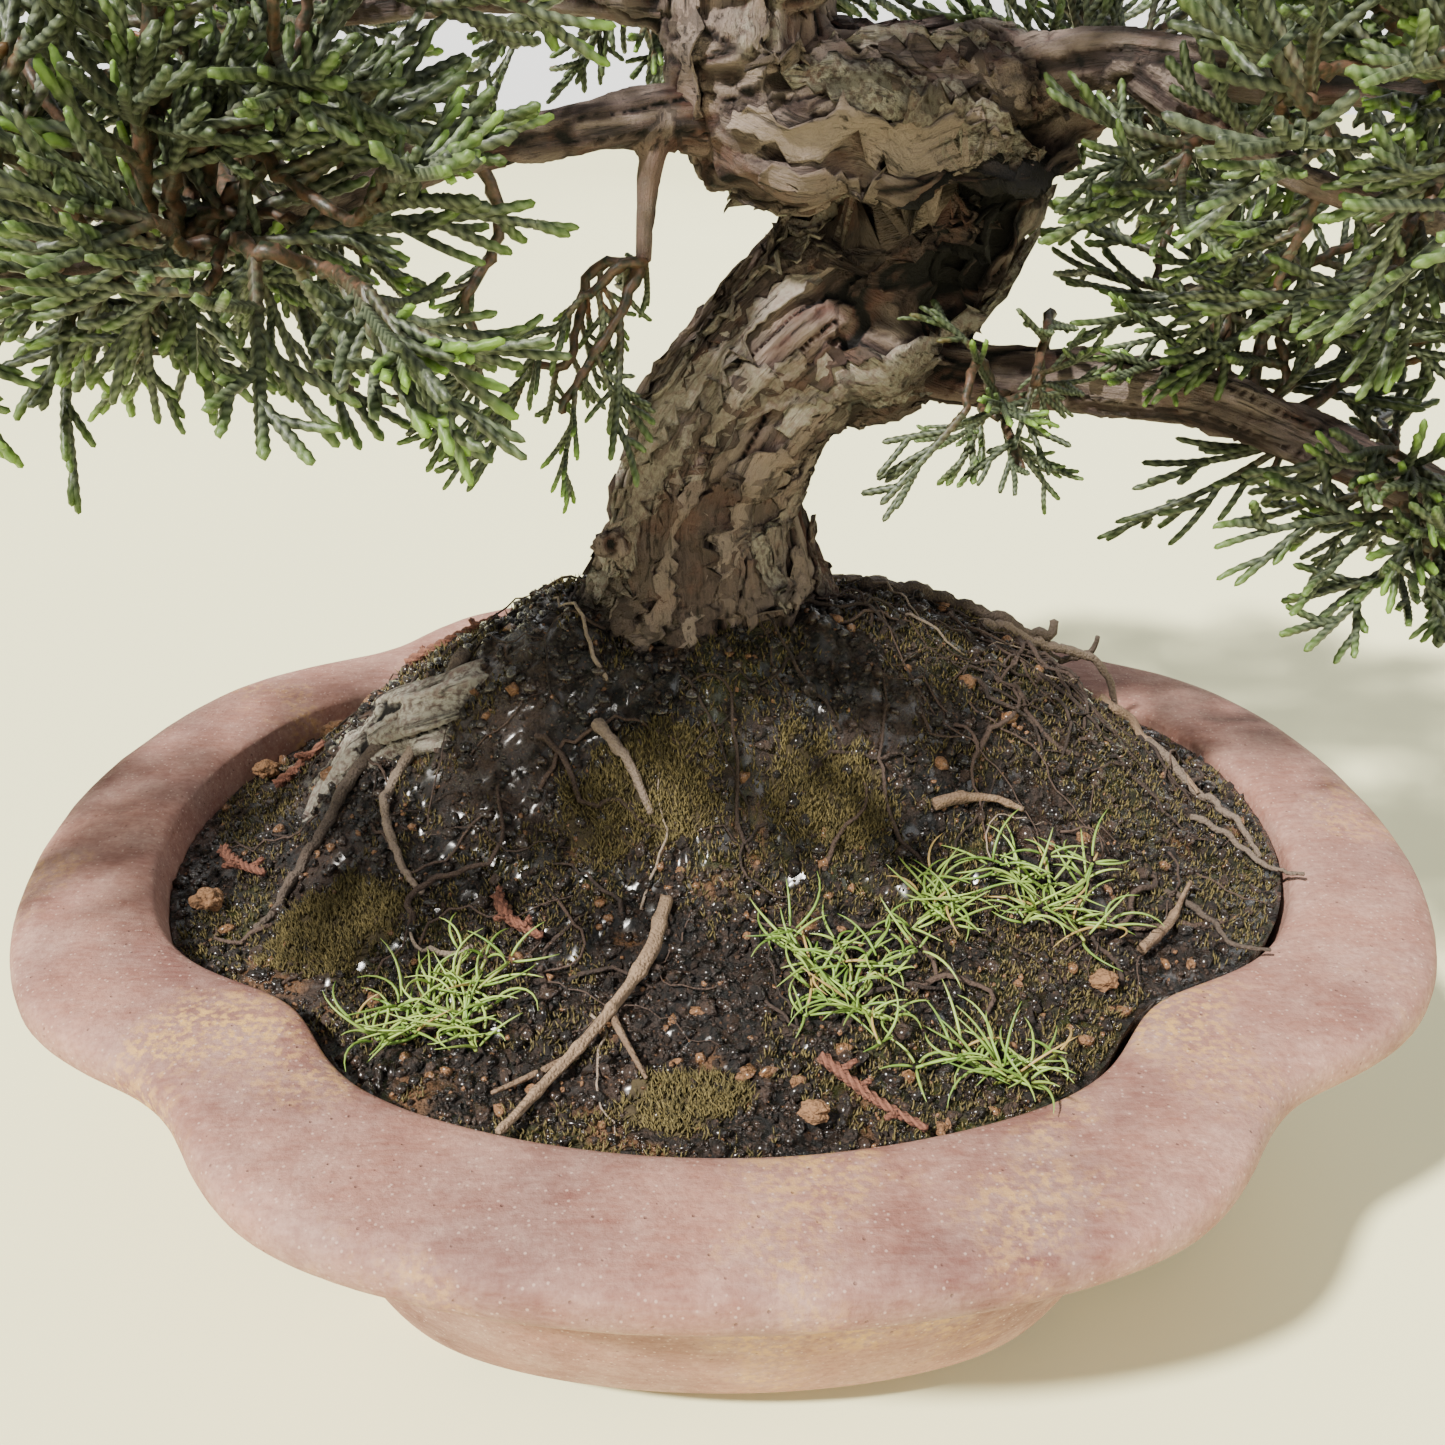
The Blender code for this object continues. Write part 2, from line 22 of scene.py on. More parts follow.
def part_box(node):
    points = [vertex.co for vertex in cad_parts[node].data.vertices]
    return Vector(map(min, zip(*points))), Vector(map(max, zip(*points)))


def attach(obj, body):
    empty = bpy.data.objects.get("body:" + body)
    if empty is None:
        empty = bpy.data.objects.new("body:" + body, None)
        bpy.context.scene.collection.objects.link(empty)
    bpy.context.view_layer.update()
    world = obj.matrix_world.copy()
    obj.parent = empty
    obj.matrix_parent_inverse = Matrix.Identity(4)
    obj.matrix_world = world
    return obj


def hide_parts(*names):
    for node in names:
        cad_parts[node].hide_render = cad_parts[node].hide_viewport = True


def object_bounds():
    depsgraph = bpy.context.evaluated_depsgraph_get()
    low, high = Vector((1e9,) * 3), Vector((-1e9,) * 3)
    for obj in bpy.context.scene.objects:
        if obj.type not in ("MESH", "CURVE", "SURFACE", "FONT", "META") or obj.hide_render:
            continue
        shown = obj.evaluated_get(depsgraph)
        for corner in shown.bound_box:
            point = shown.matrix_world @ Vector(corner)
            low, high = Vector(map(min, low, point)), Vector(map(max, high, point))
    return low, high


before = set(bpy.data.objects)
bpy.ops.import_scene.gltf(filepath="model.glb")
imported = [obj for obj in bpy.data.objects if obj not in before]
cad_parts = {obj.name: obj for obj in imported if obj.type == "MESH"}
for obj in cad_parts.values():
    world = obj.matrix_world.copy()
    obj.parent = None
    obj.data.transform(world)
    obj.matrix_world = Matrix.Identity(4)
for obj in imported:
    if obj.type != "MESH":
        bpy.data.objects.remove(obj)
cad_bounds = [list(corner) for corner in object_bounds()]

MM = 0.001
TAU = math.tau
GOLDEN_SHARE = 0.618      # of a turn, between neighbours that spread evenly
UP = np.array([0.0, 0.0, 1.0])
log = logging.getLogger("bonsai")

# Driving sizes of the pot and the soil, as the frame has them.
RIM_HEIGHT = 71.4
UNDERSIDE = 12.0
FLOOR_TOP = 20.0

# Routes are (x, y, z, radius).
LOWER_TRUNK = [
    (-1, 12, 78, 25), (-1, 12, 98, 26), (-2, 12, 112, 22.5), (-3, 11, 126, 18.5), (-3.5, 11, 136, 17),
    (2, 11, 151, 15.8), (13, 13, 164, 17), (28, 15, 175, 20), (42, 18, 188, 18), (47, 17, 199, 15),
]
MIDDLE_TRUNK = [(52, 13, 202, 13.5), (38, 6, 205.5, 13.5), (24, -2, 206, 13), (11, -6, 205, 13), (2, -6, 206, 11)]
UPPER_TRUNK = [
    (8, -5, 198, 12), (4, -4, 212, 14), (3.5, -3, 226, 13), (2, -1, 242, 11.5), (-3, 1, 258, 10),
    (-8, 2, 274, 8.5), (-5, 1, 290, 7), (1, 0, 304, 5.5), (4, 0, 318, 4), (3, 0, 332, 2.6),
]
SURFACE_ROOT = [
    (-10, 10, 98, 14), (-32, 4, 99, 11), (-54, -4, 94.5, 9.5), (-67, -2, 88.5, 8.5), (-78, -4, 79, 6),
    (-85, -10, 70, 4),
]
BARK_LEDGE = [
    (3, -13, 200, 2.6), (12, -15, 196.5, 3.4), (20, -11, 198, 2.8), (30, -11, 194, 3.8), (40, -6, 196.5, 3),
    (50, -5, 195, 3.8), (60, 2, 199, 3),
]
BRANCHES = {
    "left_low": [(8, -5, 205, 6.5), (-8, -11, 205.5, 4.6), (-24, -17, 204, 3.6), (-45, -28, 200.5, 3.2),
                 (-72, -46, 192, 2.8), (-104, -62, 189, 2.4), (-140, -66, 186, 2.0), (-190, -60, 184, 1.5)],
    "left_back": [(2, 0, 222, 7), (-18, 22, 224, 4.5), (-42, 45, 225, 3.8), (-75, 66, 222, 2.8), (-100, 76, 220, 2)],
    "left_spur": [(-10, -12, 205, 2.4), (-12, -14, 196, 1.8), (-13, -15, 184, 1.3)],
    "right_low": [(26, 13, 170, 9), (44, 12, 161, 6.5), (70, 6, 159.5, 5.4), (88, 0, 158, 5), (106, -4, 152, 4.6),
                  (134, -7, 141, 4.2), (165, -6, 137, 3.2), (200, -2, 138, 2.0)],
    "right_high": [(44, 12, 206, 8), (60, -6, 214, 4.4), (81, -17, 212, 3.6), (106, -29, 211, 3.2),
                   (145, -38, 207, 2.6), (185, -42, 203, 1.8)],
    "right_fork": [(64, -9, 213, 3), (81, -23, 202, 2.5), (94, -28, 196, 2.1), (118, -32, 190, 1.6)],
    "right_back": [(44, 20, 202, 8), (52, 42, 208, 4.6), (68, 66, 213, 3.6), (92, 84, 210, 2.4)],
    "back_centre": [(3, -1, 232, 7), (-6, 24, 238, 4.4), (-16, 55, 240, 3.4), (-20, 92, 238, 2.2)],
    "upper_left": [(0, 0, 250, 6), (-30, -10, 258, 3.8), (-62, -18, 260, 2.8), (-96, -22, 258, 1.8)],
    "upper_right": [(-6, 2, 264, 6), (26, -4, 270, 3.6), (58, -10, 271, 2.6), (90, -12, 268, 1.7)],
    "upper_front": [(-7, 1, 270, 6), (0, -28, 277, 3), (5, -58, 280, 2), (7, -80, 280, 1.4)],
    "upper_back": [(-6, 2, 280, 5), (-4, 30, 288, 3), (-2, 62, 290, 1.8)],
    "apex_left": [(0, 0, 302, 4), (-20, 4, 312, 2.4), (-36, 6, 320, 1.6)],
}


class Slot(Enum):
    """Names of material slots, which the log gives beside each piece."""

    CLAY = "clay"
    SOIL = "soil"
    BARK = "bark"
    FOLIAGE = "foliage"
    MOSS = "moss"
    WEED = "weed"
    DEAD_WOOD = "dead_wood"
    DEAD_SHOOT = "dead_shoot"
    GRIT = "grit"


# ---------------------------------------------------------------- numbers and curves
def srgb(red: int, green: int, blue: int) -> tuple[float, float, float, float]:
    """Colour as a shader wants it, from everyday 0 to 255 values.

    Args:
        red: red from 0 to 255.
        green: green from 0 to 255.
        blue: blue from 0 to 255.

    Returns:
        The colour as linear red, green, blue and a full alpha.
    """
    linear = [((value / 255 + 0.055) / 1.055) ** 2.4 if value > 10 else value / 3295 for value in (red, green, blue)]
    return (linear[0], linear[1], linear[2], 1.0)


def seeded(name: str) -> np.random.Generator:
    """Random numbers that depend only on a name."""
    return np.random.default_rng(zlib.crc32(name.encode()))


def smooth_noise(points: np.ndarray, scale: float | tuple[float, float, float], seed: int = 0) -> np.ndarray:
    """Smooth noise at many points.

    Args:
        points: places, with their three coordinates last.
        scale: cycles per unit, one for all axes or one for each.
        seed: picks a different pattern.

    Returns:
        One value from -1 to 1 for each point.
    """
    place = np.asarray(points, dtype=float) * scale + seed * 17.31
    base = np.floor(place).astype(np.int64)
    part = place - base
    part = part * part * (3 - 2 * part)
    total = np.zeros(place.shape[:-1])
    for number in range(8):
        step = np.array([number & 1, (number >> 1) & 1, (number >> 2) & 1])
        cell = base + step
        mixed = (cell[..., 0] * 73856093) ^ (cell[..., 1] * 19349663) ^ (cell[..., 2] * 83492791)
        mixed = ((mixed ^ (mixed >> 15)) * 2246822519) & 0xFFFFFFFF
        mixed = ((mixed ^ (mixed >> 13)) * 3266489917) & 0xFFFFFFFF
        weight = np.prod(np.where(step == 1, part, 1 - part), axis=-1)
        total += weight * (((mixed >> 8) & 0xFFFF) / 32767.5 - 1)
    return total


def layered_noise(points: np.ndarray, scale: float, seed: int = 0, layers: int = 3) -> np.ndarray:
    """Noise with finer noise on top, each layer half as strong and twice as fine.

    Args:
        points: places, with their three coordinates last.
        scale: cycles per unit of the coarsest layer.
        seed: picks a different pattern.
        layers: how many layers to add.

    Returns:
        One value for each point, from about -2 to 2.
    """
    return sum(smooth_noise(points, scale * 2 ** k, seed + k) / 2 ** k for k in range(layers))


def smoothstep(value: np.ndarray, low: float, high: float) -> np.ndarray:
    """0 below low, 1 above high, and an even ease between them."""
    share = np.clip((value - low) / (high - low), 0, 1)
    return share * share * (3 - 2 * share)


def unit(vectors: np.ndarray) -> np.ndarray:
    """The same directions with length 1."""
    return vectors / np.maximum(np.linalg.norm(vectors, axis=-1, keepdims=True), 1e-9)


def smooth_route(points: list[tuple[float, ...]], steps: int) -> np.ndarray:
    """Catmull-Rom curve through points of any width.

    Args:
        points: the points to pass through.
        steps: samples in each span.

    Returns:
        The samples, one row each.
    """
    knots = np.array([points[0], *points, points[-1]], dtype=float)
    rows = []
    for p, q, r, s in zip(knots, knots[1:], knots[2:], knots[3:]):
        for t in np.arange(steps) / steps:
            rows.append(0.5 * (2 * q + (r - p) * t + (2 * p - 5 * q + 4 * r - s) * t ** 2
                               + (3 * q - p - 3 * r + s) * t ** 3))
    rows.append(knots[-1])
    return np.array(rows)


def even_route(points: list[tuple[float, ...]], pitch: float) -> np.ndarray:
    """Smooth curve through points, sampled at an even distance.

    Args:
        points: the points to pass through, x, y, z and any further values.
        pitch: distance between samples.

    Returns:
        The samples, one row each.
    """
    fine = smooth_route(points, 24)
    run = np.concatenate([[0], np.cumsum(np.linalg.norm(np.diff(fine[:, :3], axis=0), axis=1))])
    count = max(int(run[-1] / pitch), 2)
    wanted = np.linspace(0, run[-1], count + 1)
    return np.stack([np.interp(wanted, run, fine[:, k]) for k in range(fine.shape[1])], axis=1)


def frames_along(path: np.ndarray) -> tuple[np.ndarray, np.ndarray, np.ndarray]:
    """Axes that travel along a path without spinning.

    Args:
        path: points, one row each.

    Returns:
        The way ahead, the side and the way across at each point.
    """
    ahead = unit(np.gradient(path, axis=0))
    side = np.empty_like(ahead)
    helper = UP if abs(ahead[0, 2]) < 0.9 else np.array([1.0, 0.0, 0.0])
    side[0] = unit(np.cross(ahead[0], helper))
    for i in range(1, len(path)):
        side[i] = unit(side[i - 1] - ahead[i] * side[i - 1].dot(ahead[i]))
    return ahead, side, np.cross(ahead, side)


# ---------------------------------------------------------------- meshes
@dataclass
class Heap:
    """Many shapes gathered into one mesh, with a tone of three values at each vertex."""

    points: list[np.ndarray] = field(default_factory=list)
    quads: list[np.ndarray] = field(default_factory=list)
    triangles: list[np.ndarray] = field(default_factory=list)
    tones: list[np.ndarray] = field(default_factory=list)
    size: int = 0

    def add(self, points: np.ndarray, quads: np.ndarray | None = None, triangles: np.ndarray | None = None,
            tone: np.ndarray | tuple[float, float, float] = (0.0, 0.0, 0.0)) -> None:
        """Adds one shape.

        Args:
            points: its vertices.
            quads: its four-sided faces.
            triangles: its three-sided faces.
            tone: one tone for the whole shape, or one for each vertex.
        """
        self.points.append(points)
        self.tones.append(np.broadcast_to(np.asarray(tone, dtype=float), points.shape))
        if quads is not None and len(quads):
            self.quads.append(quads + self.size)
        if triangles is not None and len(triangles):
            self.triangles.append(triangles + self.size)
        self.size += len(points)

    def build(self, name: str, material: bpy.types.Material | None, smooth: bool = True) -> bpy.types.Object:
        """Makes the object that holds everything gathered so far.

        Args:
            name: the piece's name.
            material: its finish.
            smooth: shade it smooth.

        Returns:
            The new object.
        """
        quads = np.concatenate(self.quads) if self.quads else np.zeros((0, 4), dtype=np.int64)
        triangles = np.concatenate(self.triangles) if self.triangles else np.zeros((0, 3), dtype=np.int64)
        mesh = bpy.data.meshes.new(name)
        mesh.vertices.add(self.size)
        mesh.vertices.foreach_set("co", (np.concatenate(self.points) * MM).astype(np.float32).ravel())
        corners = np.concatenate([quads.ravel(), triangles.ravel()]).astype(np.int32)
        mesh.loops.add(len(corners))
        mesh.loops.foreach_set("vertex_index", corners)
        starts = np.concatenate([np.arange(len(quads)) * 4, quads.size + np.arange(len(triangles)) * 3])
        mesh.polygons.add(len(starts))
        mesh.polygons.foreach_set("loop_start", starts.astype(np.int32))
        mesh.update(calc_edges=True)
        mesh.validate()
        set_tone(mesh, np.concatenate(self.tones))
        if smooth:
            mesh.shade_smooth()
        else:
            mesh.shade_flat()
        return place_object(name, mesh, material)


def set_tone(mesh: bpy.types.Mesh, tones: np.ndarray) -> None:
    """Stores three values at each vertex for the finish to read.

    Args:
        mesh: the mesh to mark.
        tones: one row of three values for each vertex.
    """
    layer = mesh.color_attributes.new("tone", "FLOAT_COLOR", "POINT")
    full = np.ones((len(tones), 4), dtype=np.float32)
    full[:, :3] = tones
    layer.data.foreach_set("color", full.ravel())


def linked(name: str, data: bpy.types.ID) -> bpy.types.Object:
    """Makes an object of a mesh, lamp or camera and links it to the scene.

    Args:
        name: the object's name.
        data: what it shows.

    Returns:
        The new object.
    """
    item = bpy.data.objects.new(name, data)
    bpy.context.scene.collection.objects.link(item)
    return item


def node_box(name: str) -> tuple[np.ndarray, np.ndarray]:
    """Lowest and highest corner of a CAD node, in millimetres."""
    low, high = (np.array(corner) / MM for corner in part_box(name))
    return low, high


def grid(*parts: object) -> np.ndarray:
    """Values spread over a grid, gathered as the coordinates of its points."""
    return np.stack(np.broadcast_arrays(*parts), axis=-1)


def place_object(name: str, mesh: bpy.types.Mesh, material: bpy.types.Material | None) -> bpy.types.Object:
    """Puts a mesh into the scene with its finish.

    Args:
        name: the object's name.
        mesh: its mesh.
        material: its finish, or none.

    Returns:
        The new object.
    """
    mesh.name = f"{name}_mesh"
    item = linked(name, mesh)
    if material:
        mesh.materials.clear()
        mesh.materials.append(material)
    return item


def vertices_of(mesh: bpy.types.Mesh) -> np.ndarray:
    """A mesh's vertices in millimetres, one row each."""
    flat = np.empty(len(mesh.vertices) * 3, dtype=np.float32)
    mesh.vertices.foreach_get("co", flat)
    return flat.reshape(-1, 3).astype(float) / MM


def baked_copy(item: bpy.types.Object) -> bpy.types.Mesh:
    """Mesh of an object after its modifiers; the object itself is removed.

    Args:
        item: the object with modifiers.

    Returns:
        The finished mesh.
    """
    bpy.context.view_layer.update()
    evaluated = item.evaluated_get(bpy.context.evaluated_depsgraph_get())
    mesh = bpy.data.meshes.new_from_object(evaluated)
    bpy.data.objects.remove(item, do_unlink=True)
    return mesh


def tube(path: np.ndarray, radii: np.ndarray, turn: float = 0.0, sides: int = 0,
         blunt: float = 0.5) -> tuple[np.ndarray, np.ndarray, np.ndarray]:
    """Closed skin round a path.

    Args:
        path: the middle line.
        radii: a radius for each path point, or a row of radii round each point.
        turn: angle of the first vertex of each ring.
        sides: vertices in a ring, where radii has no rows.
        blunt: how far each end cap sticks out, in end radii.

    Returns:
        Vertices, quads and triangles.
    """
    radii = np.asarray(radii, dtype=float)
    if radii.ndim == 1:
        radii = np.repeat(radii[:, None], sides, axis=1)
    count, sides = radii.shape
    ahead, side, across = frames_along(path)
    angle = TAU * np.arange(sides) / sides + turn
    spokes = side[:, None] * np.cos(angle)[None, :, None] + across[:, None] * np.sin(angle)[None, :, None]
    skin = (path[:, None] + spokes * radii[..., None]).reshape(-1, 3)
    tips = np.array([path[0] - ahead[0] * radii[0].mean() * blunt, path[-1] + ahead[-1] * radii[-1].mean() * blunt])
    rows = np.arange(count - 1)[:, None] * sides
    here = rows + np.arange(sides)
    there = rows + (np.arange(sides) + 1) % sides
    quads = np.stack([here, there, there + sides, here + sides], axis=-1).reshape(-1, 4)
    low, top = count * sides, count * sides + 1
    last = (count - 1) * sides
    ring, after = np.arange(sides), (np.arange(sides) + 1) % sides
    first_cap = np.stack([np.full(sides, low), after, ring], axis=1)
    last_cap = np.stack([np.full(sides, top), ring + last, after + last], axis=1)
    return np.concatenate([skin, tips]), quads, np.concatenate([first_cap, last_cap])


def ring_stack(rings: np.ndarray, start: np.ndarray, end: np.ndarray) -> tuple[np.ndarray, np.ndarray, np.ndarray]:
    """Closed skin over a stack of rings, with a fan to a point at each end.

    Args:
        rings: points as rows of rings, each listed the same way round.
        start: the point that closes the first ring.
        end: the point that closes the last ring.

    Returns:
        Vertices, quads and triangles.
    """
    count, sides = rings.shape[:2]
    rows = np.arange(count - 1)[:, None] * sides
    here = rows + np.arange(sides)
    there = rows + (np.arange(sides) + 1) % sides
    quads = np.stack([here, there, there + sides, here + sides], axis=-1).reshape(-1, 4)
    ring, after = np.arange(sides), (np.arange(sides) + 1) % sides
    last = (count - 1) * sides
    first_cap = np.stack([np.full(sides, count * sides), after, ring], axis=1)
    last_cap = np.stack([np.full(sides, count * sides + 1), ring + last, after + last], axis=1)
    return np.concatenate([rings.reshape(-1, 3), [start, end]]), quads, np.concatenate([first_cap, last_cap])


def ball(detail: int) -> tuple[np.ndarray, np.ndarray]:
    """Round ball of even triangles.

    Args:
        detail: how finely it is divided.

    Returns:
        Vertices at distance 1 and triangles.
    """
    shape = bmesh.new()
    bmesh.ops.create_icosphere(shape, subdivisions=detail, radius=1.0)
    points = np.array([vertex.co[:] for vertex in shape.verts])
    triangles = np.array([[vertex.index for vertex in face.verts] for face in shape.faces])
    shape.free()
    return points, triangles


def finish_piece(item: bpy.types.Object, slot: Slot, *nodes: str) -> None:
    """Ties a piece to the frame and reports it.

    Args:
        item: the piece.
        slot: the material slot that the log names for it.
        nodes: the CAD nodes that it stands for.
    """
    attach(item, "root")
    if nodes:
        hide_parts(*nodes)
    log.info("%s: %d faces, finish %s", item.name, len(item.data.polygons), slot.value)


# ---------------------------------------------------------------- shader effects shared by finishes
class Effect(Enum):
    """Surface effects that several finishes place with their own values."""

    MOTTLE = "mottle"
    STREAKS = "streaks"
    SPECKS = "specks"
    GRAINS = "grains"


class Painter:
    """Adds and joins the nodes of one material or group."""

    def __init__(self, tree: bpy.types.NodeTree) -> None:
        """Starts on a node tree."""
        self.tree = tree

    def node(self, kind: str, settings: dict | None = None, inputs: dict | None = None) -> bpy.types.Node:
        """Adds a node.

        Args:
            kind: its type, without the ShaderNode in front.
            settings: the node's own properties.
            inputs: a value or a socket for each input.

        Returns:
            The new node.
        """
        made = self.tree.nodes.new(f"ShaderNode{kind}")
        for name, value in (settings or {}).items():
            setattr(made, name, value)
        for name, value in (inputs or {}).items():
            self.feed(made.inputs[name], value)
        return made

    def feed(self, socket: bpy.types.NodeSocket, value: object) -> None:
        """Links a socket to an input, or sets its value.

        Args:
            socket: the input.
            value: a socket or a constant.
        """
        if isinstance(value, bpy.types.NodeSocket):
            self.tree.links.new(value, socket)
        else:
            socket.default_value = value

    def place(self) -> bpy.types.NodeSocket:
        """The surface point in metres."""
        return self.node("TexCoord").outputs["Object"]

    def attribute(self, name: str) -> bpy.types.Node:
        """Node that reads values stored on the mesh."""
        return self.node("Attribute", {"attribute_name": name})

    def tone(self) -> list[bpy.types.NodeSocket]:
        """The three tone values stored on the mesh."""
        parts = self.node("SeparateColor", None, {0: self.attribute("tone").outputs["Color"]})
        return list(parts.outputs)

    def calc(self, operation: str, first: object, second: object = 0.0) -> bpy.types.NodeSocket:
        """Result of one sum on two values.

        Args:
            operation: the sum's name.
            first: first value or socket.
            second: second value or socket.

        Returns:
            The result.
        """
        return self.node("Math", {"operation": operation}, {0: first, 1: second}).outputs[0]

    def span(self, value: object, low: object, high: object, start: float = 0.0,
             end: float = 1.0) -> bpy.types.NodeSocket:
        """Stretches a range of values to another, held at its ends.

        Args:
            value: what to stretch.
            low: value that becomes start.
            high: value that becomes end.
            start: lowest result.
            end: highest result.

        Returns:
            The stretched value.
        """
        inputs = {"Value": value, "From Min": low, "From Max": high, "To Min": start, "To Max": end}
        return self.node("MapRange", {"clamp": True}, inputs).outputs["Result"]

    def blend(self, share: object, first: object, second: object, mode: str = "MIX") -> bpy.types.NodeSocket:
        """Mixes two colours.

        Args:
            share: how much of the second colour.
            first: first colour or socket.
            second: second colour or socket.
            mode: how they mix.

        Returns:
            The mixed colour.
        """
        settings = {"data_type": "RGBA", "blend_type": mode}
        return self.node("Mix", settings, {0: share, 6: first, 7: second}).outputs[2]

    def noise(self, vector: object, scale: object, detail: object = 3.0,
              roughness: float = 0.55) -> bpy.types.NodeSocket:
        """Cloudy noise.

        Args:
            vector: where to read it.
            scale: cycles per unit of the vector.
            detail: number of finer layers.
            roughness: strength of the finer layers.

        Returns:
            A value from 0 to 1.
        """
        inputs = {"Vector": vector, "Scale": scale, "Detail": detail, "Roughness": roughness}
        return self.node("TexNoise", None, inputs).outputs[0]

    def effect(self, effect: Effect, inputs: dict) -> bpy.types.NodeSocket:
        """Places a shared effect.

        Args:
            effect: which one.
            inputs: its values.

        Returns:
            The effect's only output.
        """
        return self.node("Group", {"node_tree": effect_group(effect)}, inputs).outputs[0]

    def mottle(self, place: object, scale: float, low: float, high: float) -> bpy.types.NodeSocket:
        """Places the mottle effect.

        Args:
            place: where to read it.
            scale: cycles per metre.
            low: cloud value that becomes 0.
            high: cloud value that becomes 1.

        Returns:
            Its mask.
        """
        return self.effect(Effect.MOTTLE, {"Vector": place, "Scale": scale, "Low": low, "High": high})

    def specks(self, place: object, scale: float, size: float) -> bpy.types.NodeSocket:
        """Places the specks effect.

        Args:
            place: where to read it.
            scale: specks per metre.
            size: their size, as a share of the spacing.

        Returns:
            Its mask.
        """
        return self.effect(Effect.SPECKS, {"Vector": place, "Scale": scale, "Size": size})

    def tint(self, mask: object, weight: object, colour: object, over: object) -> bpy.types.NodeSocket:
        """Lays a colour over another through a weighted mask.

        Args:
            mask: where the colour goes.
            weight: how strong it is, or a second mask.
            colour: the colour underneath.
            over: the colour laid on.

        Returns:
            The mixed colour.
        """
        return self.blend(self.calc("MULTIPLY", mask, weight), colour, over)


def effect_group(effect: Effect) -> bpy.types.NodeTree:
    """The shared node group of an effect, built the first time it is asked for.

    Args:
        effect: which one.

    Returns:
        Its node tree.
    """
    found = bpy.data.node_groups.get(effect.value)
    if found:
        return found
    tree = bpy.data.node_groups.new(effect.value, "ShaderNodeTree")
    sockets = {
        Effect.MOTTLE: (("Scale", 100.0), ("Detail", 4.0), ("Low", 0.4), ("High", 0.6)),
        Effect.STREAKS: (("Scale", 400.0), ("Low", 0.4), ("High", 0.6)),
        Effect.SPECKS: (("Scale", 400.0), ("Size", 0.25)),
        Effect.GRAINS: (("Scale", 800.0), ("Fine", 0.4)),
    }[effect]
    tree.interface.new_socket(name="Vector", in_out="INPUT", socket_type="NodeSocketVector")
    for name, value in sockets:
        socket = tree.interface.new_socket(name=name, in_out="INPUT", socket_type="NodeSocketFloat")
        socket.default_value = value
    if effect is Effect.STREAKS:
        tree.interface.new_socket(name="Squeeze", in_out="INPUT", socket_type="NodeSocketVector")
    output = "Height" if effect is Effect.GRAINS else "Mask"
    tree.interface.new_socket(name=output, in_out="OUTPUT", socket_type="NodeSocketFloat")
    start = tree.nodes.new("NodeGroupInput").outputs
    end = tree.nodes.new("NodeGroupOutput")
    painter = Painter(tree)
    if effect is Effect.MOTTLE:
        cloud = painter.noise(start["Vector"], start["Scale"], start["Detail"])
        result = painter.span(cloud, start["Low"], start["High"])
    elif effect is Effect.STREAKS:
        squeezed = painter.node("VectorMath", {"operation": "MULTIPLY"}, {0: start["Vector"], 1: start["Squeeze"]})
        cloud = painter.noise(squeezed.outputs[0], start["Scale"], 5.0, 0.65)
        result = painter.span(cloud, start["Low"], start["High"])
    elif effect is Effect.SPECKS:
        cells = painter.node("TexVoronoi", None, {"Vector": start["Vector"], "Scale": start["Scale"]})
        result = painter.span(cells.outputs["Distance"], start["Size"], painter.calc("MULTIPLY", start["Size"], 0.5))
    else:
        cells = painter.node("TexVoronoi", None, {"Vector": start["Vector"], "Scale": start["Scale"]})
        fine = painter.noise(start["Vector"], painter.calc("MULTIPLY", start["Scale"], 2.7), 4.0)
        lumps = painter.calc("SUBTRACT", 1.0, cells.outputs["Distance"])
        result = painter.calc("ADD", lumps, painter.calc("MULTIPLY", fine, start["Fine"]))
    painter.feed(end.inputs[output], result)
    return tree


# ---------------------------------------------------------------- finishes
@dataclass(frozen=True)
class Finish:
    """A finish that is painted once and shared by the pieces that have it."""

    name: str
    roughness: float

    def material(self) -> bpy.types.Material:
        """The finish as a material, made the first time it is asked for."""
        found = bpy.data.materials.get(self.name)
        if found:
            return found
        made = bpy.data.materials.new(self.name)
        made.use_nodes = True
        shader = made.node_tree.nodes["Principled BSDF"]
        shader.inputs["Roughness"].default_value = self.roughness
        self.paint(Painter(made.node_tree), shader)
        return made

    def paint(self, painter: Painter, shader: bpy.types.Node) -> None:
        """Feeds the shader; each kind of finish has its own way.

        Args:
            painter: adds the nodes.
            shader: the material's Principled shader.
        """
        raise NotImplementedError

    def bump(self, painter: Painter, shader: bpy.types.Node, height: object, depth: float,
             strength: float = 1.0) -> None:
        """Raises fine relief on the surface.

        Args:
            painter: adds the nodes.
            shader: the material's Principled shader.
            height: socket with the relief.
            depth: height of the relief in metres.
            strength: how much of it shows.
        """
        made = painter.node("Bump", None, {"Strength": strength, "Distance": depth, "Height": height})
        painter.feed(shader.inputs["Normal"], made.outputs["Normal"])


